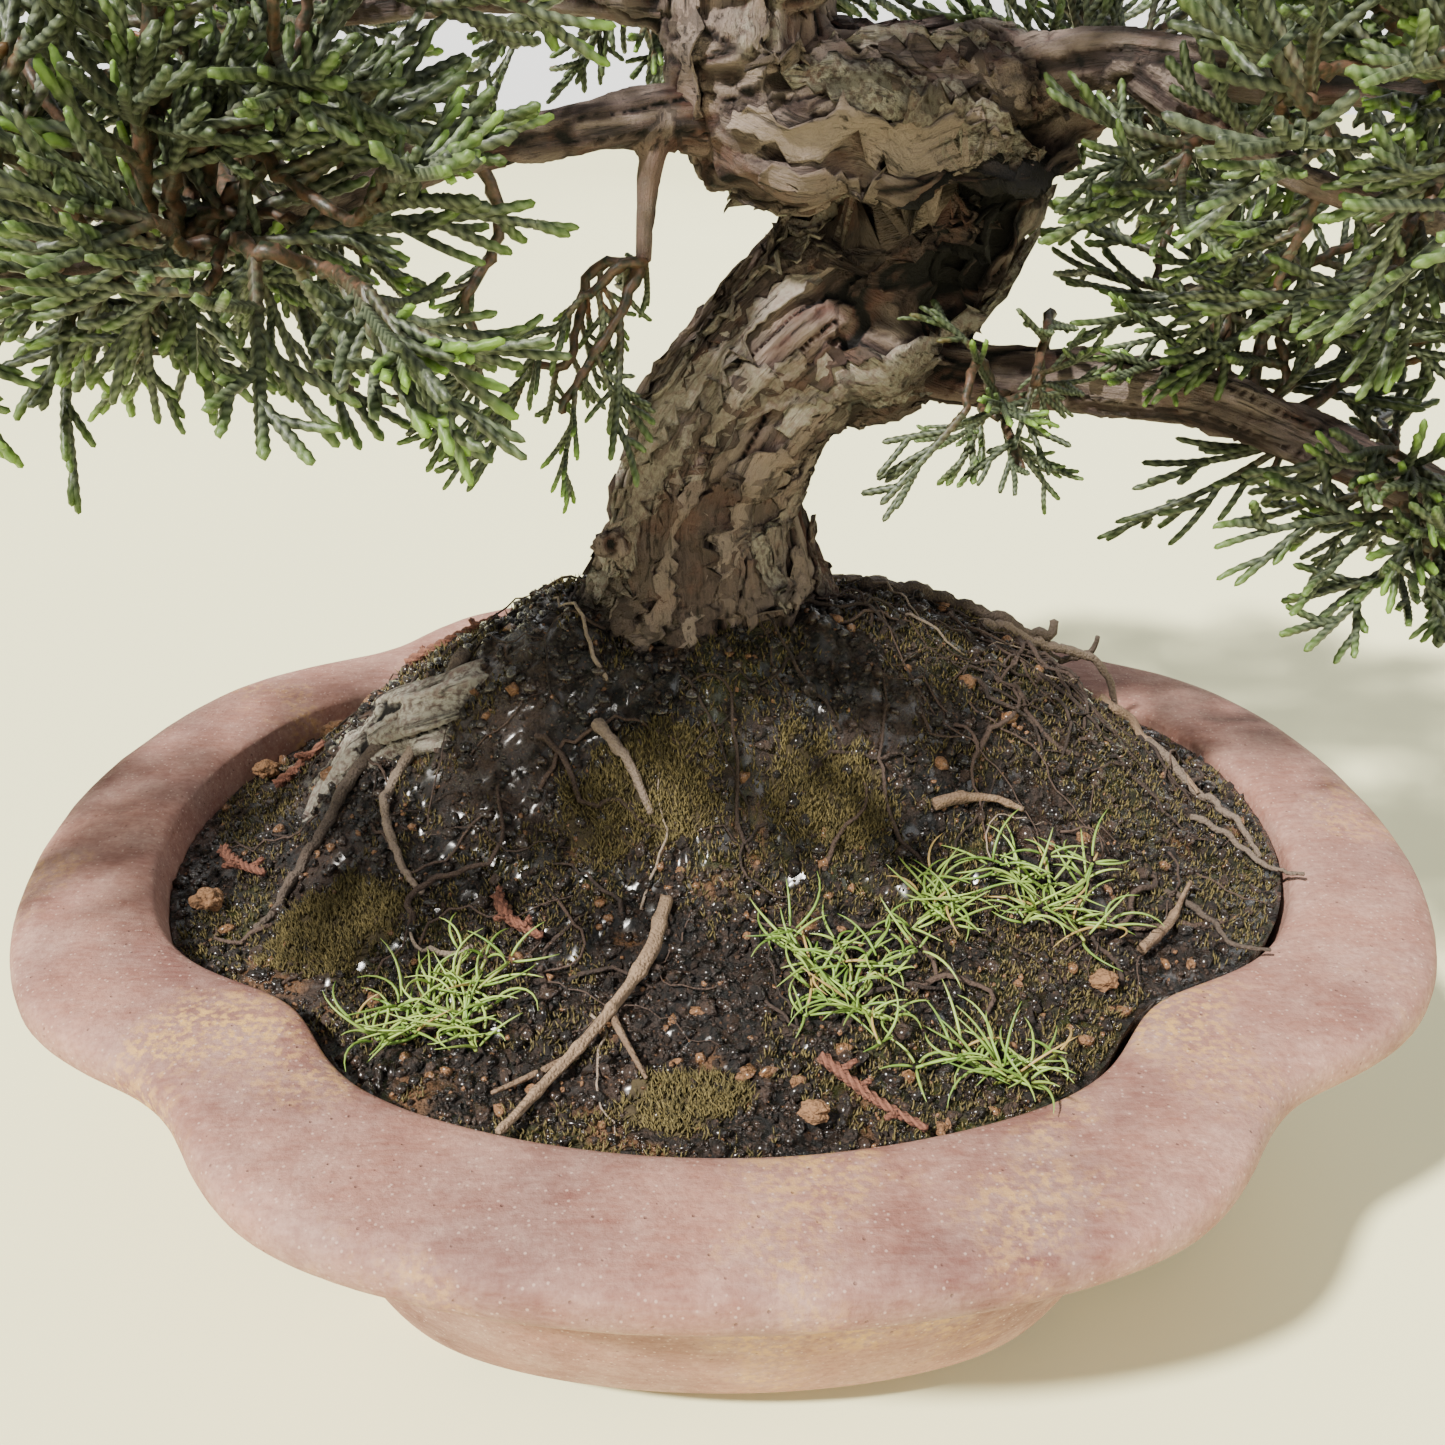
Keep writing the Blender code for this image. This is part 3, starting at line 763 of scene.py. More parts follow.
@dataclass(frozen=True)
class ClayFinish(Finish):
    """Unglazed reddish-brown stoneware: brushed grain, mineral bloom, ochre stains and a damp inner edge."""

    red: tuple[float, ...] = srgb(110, 64, 56)
    pale: tuple[float, ...] = srgb(172, 122, 104)
    beige: tuple[float, ...] = srgb(160, 124, 92)
    ochre: tuple[float, ...] = srgb(204, 160, 96)
    wet: tuple[float, ...] = srgb(70, 38, 32)
    bloom: tuple[float, ...] = srgb(206, 176, 160)

    def paint(self, painter: Painter, shader: bpy.types.Node) -> None:
        """Feeds the shader; tone holds dampness, how far below the lip, and closeness to the rim edge."""
        place = painter.place()
        damp, body, edge = painter.tone()[:3]
        mottle = painter.mottle(place, 30.0, 0.36, 0.64)
        colour = painter.blend(mottle, self.red, self.pale)
        cloudy = painter.mottle(place, 90.0, 0.4, 0.7)
        colour = painter.tint(cloudy, 0.35, colour, self.bloom)
        colour = painter.tint(body, 0.9, colour, self.beige)
        brushed = painter.effect(Effect.STREAKS, {"Vector": place, "Scale": 900.0, "Low": 0.3, "High": 0.75,
                                                  "Squeeze": (0.22, 1.0, 1.0)})
        colour = painter.tint(brushed, 0.3, colour, self.bloom)
        leather = painter.mottle(place, 520.0, 0.36, 0.64)
        colour = painter.tint(leather, 0.22, colour, self.red)
        bands = painter.effect(Effect.STREAKS, {"Vector": place, "Scale": 160.0, "Low": 0.45, "High": 0.72,
                                                "Squeeze": (0.12, 0.12, 3.0)})
        colour = painter.tint(painter.calc("MULTIPLY", bands, edge), 0.5, colour, self.red)
        grains = painter.mottle(place, 1100.0, 0.42, 0.66)
        colour = painter.tint(grains, 0.3, colour, self.red)
        stain = painter.mottle(place, 23.0, 0.54, 0.68)
        broken = painter.mottle(place, 640.0, 0.46, 0.6)
        colour = painter.tint(stain, broken, colour, self.ochre)
        dust = painter.specks(place, 700.0, 0.2)
        colour = painter.tint(dust, 0.55, colour, self.bloom)
        pits = painter.specks(place, 330.0, 0.1)
        colour = painter.tint(pits, 0.45, colour, self.wet)
        ragged = painter.mottle(place, 180.0, 0.3, 0.62)
        soaked = painter.span(painter.calc("ADD", damp, painter.calc("MULTIPLY", ragged, 0.35)), 0.55, 1.15)
        colour = painter.tint(soaked, 0.8, colour, self.wet)
        painter.feed(shader.inputs["Base Color"], colour)
        painter.feed(shader.inputs["Roughness"], painter.span(soaked, 0.0, 1.0, self.roughness, 0.42))
        grain = painter.noise(place, 1500.0, 5.0, 0.7)
        relief = painter.calc("ADD", grain, painter.calc("MULTIPLY", brushed, 0.3))
        relief = painter.calc("SUBTRACT", relief, painter.calc("MULTIPLY", pits, 0.8))
        relief = painter.calc("ADD", relief, painter.calc("MULTIPLY", leather, 0.3))
        self.bump(painter, shader, relief, 0.0002)


@dataclass(frozen=True)
class SoilFinish(Finish):
    """Black wet humus with brown crumbs, ochre grains and green algae."""

    dark: tuple[float, ...] = srgb(11, 9, 8)
    brown: tuple[float, ...] = srgb(78, 60, 50)
    ochre: tuple[float, ...] = srgb(168, 122, 84)
    green: tuple[float, ...] = srgb(58, 62, 20)

    def paint(self, painter: Painter, shader: bpy.types.Node) -> None:
        """Feeds the shader; tone holds brownness, ochre and algae."""
        place = painter.place()
        brown, ochre, algae = painter.tone()[:3]
        clods = painter.mottle(place, 520.0, 0.42, 0.66)
        colour = painter.tint(clods, 0.55, self.dark, self.brown)
        colour = painter.blend(brown, colour, self.brown)
        colour = painter.blend(ochre, colour, self.ochre)
        patches = painter.mottle(place, 240.0, 0.4, 0.62)
        colour = painter.tint(patches, algae, colour, self.green)
        crumbs = painter.specks(place, 700.0, 0.22)
        colour = painter.tint(crumbs, 0.25, colour, self.ochre)
        painter.feed(shader.inputs["Base Color"], colour)
        wet = painter.noise(place, 300.0, 4.0)
        painter.feed(shader.inputs["Roughness"], painter.span(wet, 0.44, 0.6, 0.14, self.roughness))
        painter.feed(shader.inputs["Coat Weight"], painter.span(wet, 0.58, 0.46, 0.0, 1.0))
        shader.inputs["Coat Roughness"].default_value = 0.2
        grains = painter.effect(Effect.GRAINS, {"Vector": place, "Scale": 1000.0, "Fine": 0.9})
        self.bump(painter, shader, grains, 0.0014)


@dataclass(frozen=True)
class BarkFinish(Finish):
    """Flaking juniper bark: grey-brown fibres, dark cracks with painted shade in the hollows, pinkish new bark and
    lichen.
    """

    fibre: tuple[float, ...] = srgb(104, 84, 78)
    brown: tuple[float, ...] = srgb(44, 31, 28)
    worn: tuple[float, ...] = srgb(196, 176, 162)
    # darkest colour: the real cracks, and also painted shade laid in low relief and in dents
    crack_and_shade: tuple[float, ...] = srgb(14, 9, 7)
    fresh: tuple[float, ...] = srgb(112, 70, 58)
    lichen: tuple[float, ...] = srgb(182, 176, 160)
    algae: tuple[float, ...] = srgb(44, 46, 22)

    def paint(self, painter: Painter, shader: bpy.types.Node) -> None:
        """Feeds the shader; tone holds height of the relief with painted shade in its hollows, lichen and algae, grain
        runs along the wood.
        """
        place = painter.place()
        grain = painter.attribute("grain").outputs["Vector"]
        relief_shade, lichen, algae = painter.tone()[:3]
        fibres = painter.effect(Effect.STREAKS, {"Vector": grain, "Scale": 1.0, "Low": 0.3, "High": 0.7,
                                                 "Squeeze": (1.3, 1.3, 0.07)})
        broad = painter.effect(Effect.STREAKS, {"Vector": grain, "Scale": 1.0, "Low": 0.4, "High": 0.62,
                                                "Squeeze": (0.22, 0.22, 0.035)})
        colour = painter.blend(fibres, self.brown, self.fibre)
        peeled = painter.mottle(place, 110.0, 0.52, 0.6)
        colour = painter.tint(peeled, 0.5, colour, self.fresh)
        colour = painter.tint(broad, 0.5, colour, self.brown)
        colour = painter.tint(painter.span(relief_shade, 0.55, 0.95), 0.55, colour, self.worn)
        broken = painter.mottle(place, 900.0, 0.38, 0.58)
        colour = painter.tint(lichen, broken, colour, self.lichen)
        colour = painter.tint(algae, broken, colour, self.algae)
        # painted shade: low relief, the dents included, takes the dark crack colour along with the real thin cracks
        hollow_shade = painter.span(relief_shade, 0.54, 0.28)
        thin = painter.effect(Effect.STREAKS, {"Vector": grain, "Scale": 1.0, "Low": 0.43, "High": 0.33,
                                               "Squeeze": (0.75, 0.75, 0.05)})
        colour = painter.blend(painter.calc("MAXIMUM", hollow_shade, painter.calc("MULTIPLY", thin, 0.8)),
                               colour, self.crack_and_shade)
        painter.feed(shader.inputs["Base Color"], colour)
        flaky = painter.noise(place, 900.0, 5.0, 0.7)
        relief = painter.calc("ADD", painter.calc("MULTIPLY", fibres, 0.7), flaky)
        relief = painter.calc("SUBTRACT", relief, thin)
        self.bump(painter, shader, relief, 0.001)


@dataclass(frozen=True)
class FoliageFinish(Finish):
    """Scale leaves: grey-green, light along the scales with painted shade on their low sides, fresh yellow-green tips
    and brown old wood.
    """

    shade: tuple[float, ...] = srgb(26, 36, 20)
    scale: tuple[float, ...] = srgb(114, 124, 96)
    tip: tuple[float, ...] = srgb(124, 164, 62)
    wood: tuple[float, ...] = srgb(92, 66, 50)
    rust: tuple[float, ...] = srgb(134, 72, 40)

    def paint(self, painter: Painter, shader: bpy.types.Node) -> None:
        """Feeds the shader; tone holds youth, height of the scale, whose low sides take painted shade, and woodiness.
        """
        place = painter.place()
        young, relief_shade, woody = painter.tone()[:3]
        patchy = painter.mottle(place, 60.0, 0.35, 0.65)
        # painted shade: the low sides of the scales take the dark shade colour
        colour = painter.tint(relief_shade, painter.span(patchy, 0, 1, 0.6, 1.0), self.shade, self.scale)
        flecks = painter.noise(place, 1400.0, 2.0)
        colour = painter.blend(painter.span(flecks, 0.55, 0.75, 0.0, 0.4), colour, self.scale)
        colour = painter.blend(young, colour, self.tip)
        old = painter.mottle(place, 33.0, 0.66, 0.72)
        colour = painter.tint(old, 0.7, colour, self.rust)
        ringed = painter.mottle(place, 700.0, 0.35, 0.65)
        colour = painter.blend(woody, colour, painter.blend(ringed, self.shade, self.wood))
        painter.feed(shader.inputs["Base Color"], colour)
        self.bump(painter, shader, flecks, 0.0002, 0.6)


@dataclass(frozen=True)
class TintFinish(Finish):
    """Small natural things: two tints that vary over the surface, with a third where tone says so."""

    first: tuple[float, ...] = srgb(120, 120, 120)
    second: tuple[float, ...] = srgb(90, 90, 90)
    third: tuple[float, ...] = srgb(60, 60, 60)
    scale: float = 300.0
    relief: float = 0.0004

    def paint(self, painter: Painter, shader: bpy.types.Node) -> None:
        """Feeds the shader; tone holds the share of the second and of the third tint."""
        place = painter.place()
        share, other = painter.tone()[:2]
        cloud = painter.mottle(place, self.scale, 0.36, 0.66)
        colour = painter.blend(painter.calc("MAXIMUM", share, painter.calc("MULTIPLY", cloud, 0.6)),
                               self.first, self.second)
        colour = painter.blend(other, colour, self.third)
        painter.feed(shader.inputs["Base Color"], colour)
        grains = painter.effect(Effect.GRAINS, {"Vector": place, "Scale": self.scale * 4, "Fine": 0.6})
        self.bump(painter, shader, grains, self.relief)


@dataclass(frozen=True)
class WireFinish(Finish):
    """Bent copper-coloured wire, dulled in patches."""

    bright: tuple[float, ...] = srgb(190, 122, 84)
    patina: tuple[float, ...] = srgb(84, 56, 42)

    def paint(self, painter: Painter, shader: bpy.types.Node) -> None:
        """Feeds the shader."""
        place = painter.place()
        dull = painter.mottle(place, 260.0, 0.4, 0.6)
        painter.feed(shader.inputs["Base Color"], painter.blend(dull, self.bright, self.patina))
        painter.feed(shader.inputs["Metallic"], painter.span(dull, 0.0, 1.0, 1.0, 0.3))
        painter.feed(shader.inputs["Roughness"], painter.span(dull, 0.0, 1.0, self.roughness, 0.7))


CLAY = ClayFinish("unglazed_stoneware", 0.78)
SOIL = SoilFinish("wet_humus", 0.8)
BARK = BarkFinish("juniper_bark", 0.88)
NEEDLES = FoliageFinish("scale_leaves", 0.5)
MOSS = TintFinish("olive_moss", 0.85, srgb(62, 58, 26), srgb(146, 130, 78), srgb(50, 38, 24), 260.0)
WEED = TintFinish("pearlwort_leaf", 0.42, srgb(92, 130, 46), srgb(164, 188, 92), srgb(176, 148, 88), 160.0, 0.0001)
DEAD_WOOD = TintFinish("grey_twig", 0.85, srgb(112, 86, 66), srgb(178, 152, 124), srgb(58, 42, 32), 420.0)
DEAD_SHOOT = TintFinish("rusty_dead_shoot", 0.8, srgb(124, 70, 52), srgb(168, 118, 94), srgb(62, 32, 24), 420.0)
GRIT_STONE = TintFinish("grit_stone", 0.9, srgb(150, 110, 76), srgb(112, 84, 60), srgb(64, 48, 36), 380.0)
ROOT_FIBRE = TintFinish("root_fibre", 0.8, srgb(34, 26, 22), srgb(84, 66, 56), srgb(166, 148, 130), 420.0)
PLASTIC = TintFinish("moulded_mesh", 0.45, srgb(30, 34, 32), srgb(44, 48, 46), srgb(20, 22, 20), 300.0, 0.0001)
WIRE = WireFinish("copper_wire", 0.35)
FLOOR = TintFinish("pale_floor", 0.7, srgb(250, 249, 200), srgb(247, 245, 196), srgb(243, 241, 192), 3.0, 0.0)


# ---------------------------------------------------------------- studio
@dataclass
class Studio:
    """Plain floor, soft lights and the camera."""

    floor_size: float = 8000.0
    camera_place: tuple[float, float, float] = (0.0, -0.2471, 0.2182)
    camera_dip_degrees: float = 27.19
    camera_lens: float = 33.63
    key_way: tuple[float, float, float] = (-0.675, -0.596, 1.0)
    key_strength: float = 9.5
    key_spread_degrees: float = 3.5
    fill_watts: float = 8.0
    sky: float = 0.6
    backdrop: float = 2.2

    def build(self) -> None:
        """Makes the floor, the lights and the camera."""
        half = self.floor_size / 2
        corners = np.array([(-half, -half, 0), (half, -half, 0), (half, half, 0), (-half, half, 0)], dtype=float)
        floor = Heap()
        floor.add(corners, quads=np.array([[0, 1, 2, 3]]))
        floor.build("floor", FLOOR.material())
        self.key_light()
        self.light("fill_light", Vector((1.3, -0.9, 0.9)), 1.2, self.fill_watts, (0.92, 0.96, 1.0))
        self.light("back_light", Vector((0.5, 1.5, 1.0)), 1.2, self.fill_watts, (0.95, 0.97, 1.0))
        self.surroundings()
        self.camera()
        log.info("studio: floor, three lights and camera")

    def key_light(self) -> None:
        """Shines the main light from the front left, a little soft at its shadows' edges."""
        lamp = bpy.data.lights.new("key_light", "SUN")
        lamp.energy = self.key_strength
        lamp.angle = math.radians(self.key_spread_degrees)
        lamp.color = (1.0, 0.965, 0.9)
        item = linked("key_light", lamp)
        item.rotation_euler = Vector(self.key_way).to_track_quat("Z", "Y").to_euler()

    def surroundings(self) -> None:
        """Lights softly from all round, with a plain bright background behind."""
        world = bpy.data.worlds.new("soft_sky")
        world.use_nodes = True
        painter = Painter(world.node_tree)
        seen = painter.node("LightPath").outputs["Is Camera Ray"]
        background = world.node_tree.nodes["Background"]
        background.inputs["Color"].default_value = (1.0, 0.99, 0.95, 1.0)
        painter.feed(background.inputs["Strength"], painter.span(seen, 0.0, 1.0, self.sky, self.backdrop))
        bpy.context.scene.world = world

    def light(self, name: str, place: Vector, size: float, watts: float, colour: tuple[float, ...]) -> None:
        """Hangs a square soft light that faces the tree.

        Args:
            name: the light's name.
            place: where it hangs, in metres.
            size: its side in metres.
            watts: its power.
            colour: its colour.
        """
        lamp = bpy.data.lights.new(name, "AREA")
        lamp.size = size
        lamp.energy = watts
        lamp.color = colour
        item = linked(name, lamp)
        item.location = place
        item.rotation_euler = (Vector((0, 0, 0.12)) - place).to_track_quat("-Z", "Y").to_euler()

    def camera(self) -> None:
        """Sets the camera close in front, looking down into the pot."""
        data = bpy.data.cameras.new("camera")
        data.sensor_width = 36.0
        data.lens = self.camera_lens
        data.clip_start = 0.01
        item = linked("camera", data)
        item.location = self.camera_place
        item.rotation_euler = (math.radians(90 - self.camera_dip_degrees), 0, 0)
        bpy.context.scene.camera = item


# ---------------------------------------------------------------- pot
@dataclass(frozen=True)
class Outline:
    """Plan outline of the pot: a long round shape with a dip at each of its four corners."""

    mean: float
    stretch: float
    square: float
    dip: float
    corner: float
    width: float

    def radius(self, angle: np.ndarray) -> np.ndarray:
        """Distance from the middle to the outline at each angle."""
        turn = np.arctan2(np.abs(np.sin(angle)), np.abs(np.cos(angle)))
        dip = self.dip * np.exp(-(((turn - self.corner) / self.width) ** 2))
        return self.mean + self.stretch * np.cos(2 * angle) + self.square * np.cos(4 * angle) - dip


RIM = Outline(133.5, 7.1, -0.6, 10.8, 0.75, 0.19)
MOUTH = Outline(106.0, 8.2, 0.9, 8.9, 0.706, 0.183)
MOUTH_SECTION = [
    (-4.0, RIM_HEIGHT), (-1.0, 70.4), (0.0, 68.0), (1.5, 60.0), (6.0, 30.0), (9.0, 22.0), (13.0, FLOOR_TOP),
]


@dataclass
class Pot:
    """Hand-finished stoneware pot with a wide lip, four feet and two drainage holes."""

    sides: int = 420
    lip_rings: int = 16
    outer_section: tuple[tuple[float, float], ...] = (
        (33.0, UNDERSIDE), (30.0, 12.8), (25.0, 24.0), (21.0, 38.0), (18.5, 50.0), (17.0, 58.0),
        (13.0, 61.0), (3.5, 62.0), (0.7, 64.0), (0.0, 67.0), (1.2, 70.0), (4.5, RIM_HEIGHT),
    )
    foot_angles: tuple[float, ...] = (50, 130, 230, 310)
    foot_radius: float = 83.5
    foot_half_length: float = 16.0
    foot_half_width: float = 7.5
    foot_section: tuple[tuple[float, float], ...] = (
        (0.88, 0.0), (0.93, 0.4), (0.97, 1.5), (1.0, 4.0), (1.0, 15.0),
    )
    drain_x: float = 48.0
    drain_radius: float = 11.0
    unevenness: float = 0.5

    def build(self) -> None:
        """Makes the pot and ties it to the frame."""
        shell = self.shell()
        cutters = [self.foot(math.radians(angle)) for angle in self.foot_angles]
        for cutter in cutters:
            self.join(shell, cutter, "UNION")
        for x in (-self.drain_x, self.drain_x):
            path = np.array([(x, 0, z) for z in (UNDERSIDE - 5, UNDERSIDE + 4, FLOOR_TOP + 5)], dtype=float)
            hole = Heap()
            hole.add(*tube(path, np.full(3, self.drain_radius), sides=48))
            cutters.append(hole.build(f"drain_cutter_{len(cutters)}", None))
            self.join(shell, cutters[-1], "DIFFERENCE")
        mesh = baked_copy(shell)
        for cutter in cutters:
            bpy.data.objects.remove(cutter, do_unlink=True)
        self.soften(mesh)
        mesh.shade_smooth()
        mesh.set_sharp_from_angle(angle=math.radians(50))
        finish_piece(place_object("stoneware_pot", mesh, CLAY.material()), Slot.CLAY, "pot")

    def shell(self) -> bpy.types.Object:
        """Body and lip, lofted up the outside, over the lip and down inside."""
        angle = TAU * np.arange(self.sides) / self.sides
        outer = smooth_route(list(self.outer_section), 5)
        inner = smooth_route(MOUTH_SECTION, 4)
        rows = [(RIM.radius(angle) - inset, height) for inset, height in outer]
        first, last = rows[-1][0], MOUTH.radius(angle) - inner[0][0]
        for share in np.linspace(0, 1, self.lip_rings + 2)[1:-1]:
            crown = 0.35 * math.sin(math.pi * share)
            rows.append((first + (last - first) * share, RIM_HEIGHT + crown))
        rows += [(MOUTH.radius(angle) - inset, height) for inset, height in inner]
        rows = [(rows[0][0] * share, UNDERSIDE) for share in (0.3, 0.65, 0.9)] + rows
        rows += [(rows[-1][0] * share, FLOOR_TOP) for share in (0.9, 0.65, 0.3)]
        rings = np.array([np.stack([radius * np.cos(angle), radius * np.sin(angle), np.full(self.sides, height)], 1)
                          for radius, height in rows])
        heap = Heap()
        heap.add(*ring_stack(rings, np.array([0, 0, UNDERSIDE]), np.array([0, 0, FLOOR_TOP])))
        return heap.build("pot_shell", None)

    def foot(self, angle: float) -> bpy.types.Object:
        """Low foot with rounded ends under the body's edge.

        Args:
            angle: where it stands round the pot.

        Returns:
            The foot as an object to join.
        """
        outward = np.array([math.cos(angle), math.sin(angle), 0.0])
        along = np.array([-math.sin(angle), math.cos(angle), 0.0])
        turn = TAU * np.arange(56) / 56
        length = np.copysign(np.abs(np.cos(turn)) ** 0.5, np.cos(turn)) * self.foot_half_length
        width = np.copysign(np.abs(np.sin(turn)) ** 0.5, np.sin(turn)) * self.foot_half_width
        plan = along * length[:, None] + outward * width[:, None]
        centre = outward * self.foot_radius
        rings = np.array([centre + plan * scale + UP * height for scale, height in self.foot_section])
        heap = Heap()
        heap.add(*ring_stack(rings, centre, centre + UP * self.foot_section[-1][1]))
        return heap.build(f"foot_{round(math.degrees(angle))}", None)

    def join(self, shell: bpy.types.Object, other: bpy.types.Object, operation: str) -> None:
        """Adds a Boolean step to the shell.

        Args:
            shell: what is joined or cut.
            other: what joins or cuts it.
            operation: UNION or DIFFERENCE.
        """
        step = shell.modifiers.new(other.name, "BOOLEAN")
        step.operation = operation
        step.solver = "EXACT"
        step.object = other

    def soften(self, mesh: bpy.types.Mesh) -> None:
        """Gives the surface its hand-finished unevenness and marks damp and dry places.

        Args:
            mesh: the pot's mesh, changed in place.
        """
        points = vertices_of(mesh)
        angle = np.arctan2(points[:, 1], points[:, 0])
        away = np.hypot(points[:, 0], points[:, 1])
        free = smoothstep(points[:, 2], 16.0, 26.0)
        wave = layered_noise(points, 0.028, 3) * self.unevenness + layered_noise(points, 0.16, 5) * 0.13
        outward = unit(np.stack([points[:, 0], points[:, 1], np.zeros(len(points))], 1))
        inside = away < MOUTH.radius(angle) + 0.5
        points += outward * (np.where(inside, -0.1, 0.6) * wave * free)[:, None]
        points[:, 2] += np.where(inside, 0.0, 0.45 * wave) * smoothstep(points[:, 2], 60.0, 68.0)
        mesh.vertices.foreach_set("co", (points * MM).astype(np.float32).ravel())
        damp = smoothstep(MOUTH.radius(angle) + 5.0 - away, 0.0, 6.0)
        body = smoothstep(61.5 - points[:, 2], 0.0, 1.5) * (away > MOUTH.radius(angle) - 2)
        edge = smoothstep(RIM.radius(angle) - away, 16.0, 4.0) * smoothstep(points[:, 2], 60.0, 62.0)
        set_tone(mesh, np.stack([damp, body, edge], 1))
        mesh.update()


@dataclass
class Drainage:
    """Plastic grids over the drainage holes and the wire staples that hold them."""

    sides: tuple[str, ...] = ("left", "right")

    def dress(self) -> None:
        """Gives the frame's own screens and staples their finish."""
        for side in self.sides:
            for node, finish in ((f"drainage_screen_{side}", PLASTIC), (f"screen_staple_{side}", WIRE)):
                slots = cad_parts[node].material_slots
                for slot in slots:
                    slot.material = finish.material()
                if not slots:
                    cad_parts[node].data.materials.append(finish.material())
                log.info("%s: frame node with finish %s", node, finish.name)


# ---------------------------------------------------------------- soil
@dataclass
class SoilBed:
    """Granular root ball with a broad mound round the trunk."""

    bed_depth: float = 5.0
    bed_tilt: float = 3.0
    mound_height: float = 43.0
    mound_radius: float = 46.0
    mound_stretch: float = 1.75
    mound_y: float = 14.0
    mound_fade: float = 0.35
    sides: int = 440
    rings: int = 120
    crumbs: int = 9600
    wall_gap: float = 0.6
    shoulders: tuple[tuple[float, ...], ...] = ((-34, -4, 14, 7.0), (-46, -14, 12, 4.0), (-32, 16, 14, 6.0),
                                                (-52, 8, 12, 3.0), (-2, -12, 17, 9.0), (26, 2, 16, 6.0))
    fuzz: int = 42000

    def base_height(self, x: np.ndarray, y: np.ndarray) -> np.ndarray:
        """Top of the soil above the table, without its grains.

        Args:
            x: places along the pot.
            y: places across the pot.

        Returns:
            The heights.
        """
        angle = np.arctan2(y, x)
        share = 1 - np.hypot(x, y) / MOUTH.radius(angle)
        fade = smoothstep(share, 0.0, self.mound_fade)
        away = np.hypot(x / self.mound_stretch, y - self.mound_y) / self.mound_radius
        return (RIM_HEIGHT - self.bed_depth + self.bed_tilt * x / MOUTH.mean
                + self.mound_height / (1 + away ** 4) * fade)

    def height(self, x: np.ndarray, y: np.ndarray) -> np.ndarray:
        """Top of the soil with its lumps.

        Args:
            x: places along the pot.
            y: places across the pot.

        Returns:
            The heights.
        """
        x, y = np.asarray(x, dtype=float), np.asarray(y, dtype=float)
        flat = np.stack([x, y, np.zeros_like(x)], axis=-1)
        share = 1 - np.hypot(x, y) / MOUTH.radius(np.arctan2(y, x))
        calm = smoothstep(share, 0.0, 0.12)
        lumps = layered_noise(flat, 0.06, 11, 4) * 1.5
        clods = np.abs(smooth_noise(flat, 0.22, 21)) * 2.2 + smooth_noise(flat, 0.5, 23) * 0.8
        shoulders = sum(rise * np.exp(-((x - place_x) ** 2 + (y - place_y) ** 2) / spread ** 2)
                        for place_x, place_y, spread, rise in self.shoulders)
        return self.base_height(x, y) + shoulders + lumps * calm + clods * (0.35 + 0.65 * calm) - 0.6

    def build(self) -> None:
        """Makes the root ball and its loose crumbs."""
        angle = TAU * np.arange(self.sides) / self.sides
        mouth = MOUTH.radius(angle)
        rows = []
        for inset, height in ((13.0, FLOOR_TOP + 0.4), (9.0, 22.0), (6.0, 30.0), (3.2, 45.0), (1.8, 58.0)):
            radius = mouth - inset - 2 * self.wall_gap
            rows.append(np.stack([radius * np.cos(angle), radius * np.sin(angle), np.full(self.sides, height)], 1))
        for share in np.linspace(0, 1, self.rings + 1)[:-1] ** 0.92:
            radius = (mouth - self.wall_gap - 0.7) * (1 - share)
            x, y = radius * np.cos(angle), radius * np.sin(angle)
            rows.append(np.stack([x, y, self.height(x, y)], 1))
        rings = np.array(rows)
        top = np.array([0.0, 0.0, float(self.height(0.0, 0.0))])
        points, quads, triangles = ring_stack(rings, np.array([0, 0, FLOOR_TOP + 0.4]), top)
        heap = Heap()
        heap.add(points, quads, triangles, self.tones(points))
        finish_piece(heap.build("root_ball", SOIL.material()), Slot.SOIL, "soil")
        self.scatter_crumbs()
        self.grow_fuzz()

    def tones(self, points: np.ndarray) -> np.ndarray:
        """Brownness, ochre and algae at places on the soil.

        Args:
            points: the places.

        Returns:
            One row of three values each.
        """
        brown = smoothstep(layered_noise(points, 0.035, 31), 0.1, 0.8) * 0.55
        ochre = smoothstep(smooth_noise(points, 0.12, 33), 0.5, 0.8) * 0.4
        algae = smoothstep(layered_noise(points, 0.05, 35), 0.0, 0.6) * 0.8
        return np.stack([brown, ochre, algae], 1)

    def scatter_crumbs(self) -> None:
        """Loose grains of humus and fired clay all over the soil."""
        random = seeded("crumbs")
        shape, faces = ball(1)
        for name, finest, coarsest, shine in (("soil_crumbs", 0.45, 1.7, 0.0), ("soil_grains", 0.28, 0.85, 0.2)):
            count = self.crumbs
            spots = self.scattered(random, count)
            size = finest + (coarsest - finest) * random.uniform(size=count) ** 4
            lumps = shape * (1 + 0.3 * random.normal(size=(count, len(shape), 1))) * size[:, None, None]
            lumps = lumps * random.uniform(0.7, 1.2, (count, 1, 3)) + spots[:, None] + UP * 0.25 * size[:, None, None]
            kind = random.uniform(size=count)
            tones = np.stack([np.where(kind < 0.76, 0.1, 0.75), np.where(kind < 0.93, shine * 0.2, 0.8), 0 * kind], 1)
            heap = Heap()
            triangles = (faces + len(shape) * np.arange(count)[:, None, None]).reshape(-1, 3)
            heap.add(lumps.reshape(-1, 3), triangles=triangles, tone=np.repeat(tones, len(shape), axis=0))
            finish_piece(heap.build(name, SOIL.material()), Slot.SOIL)

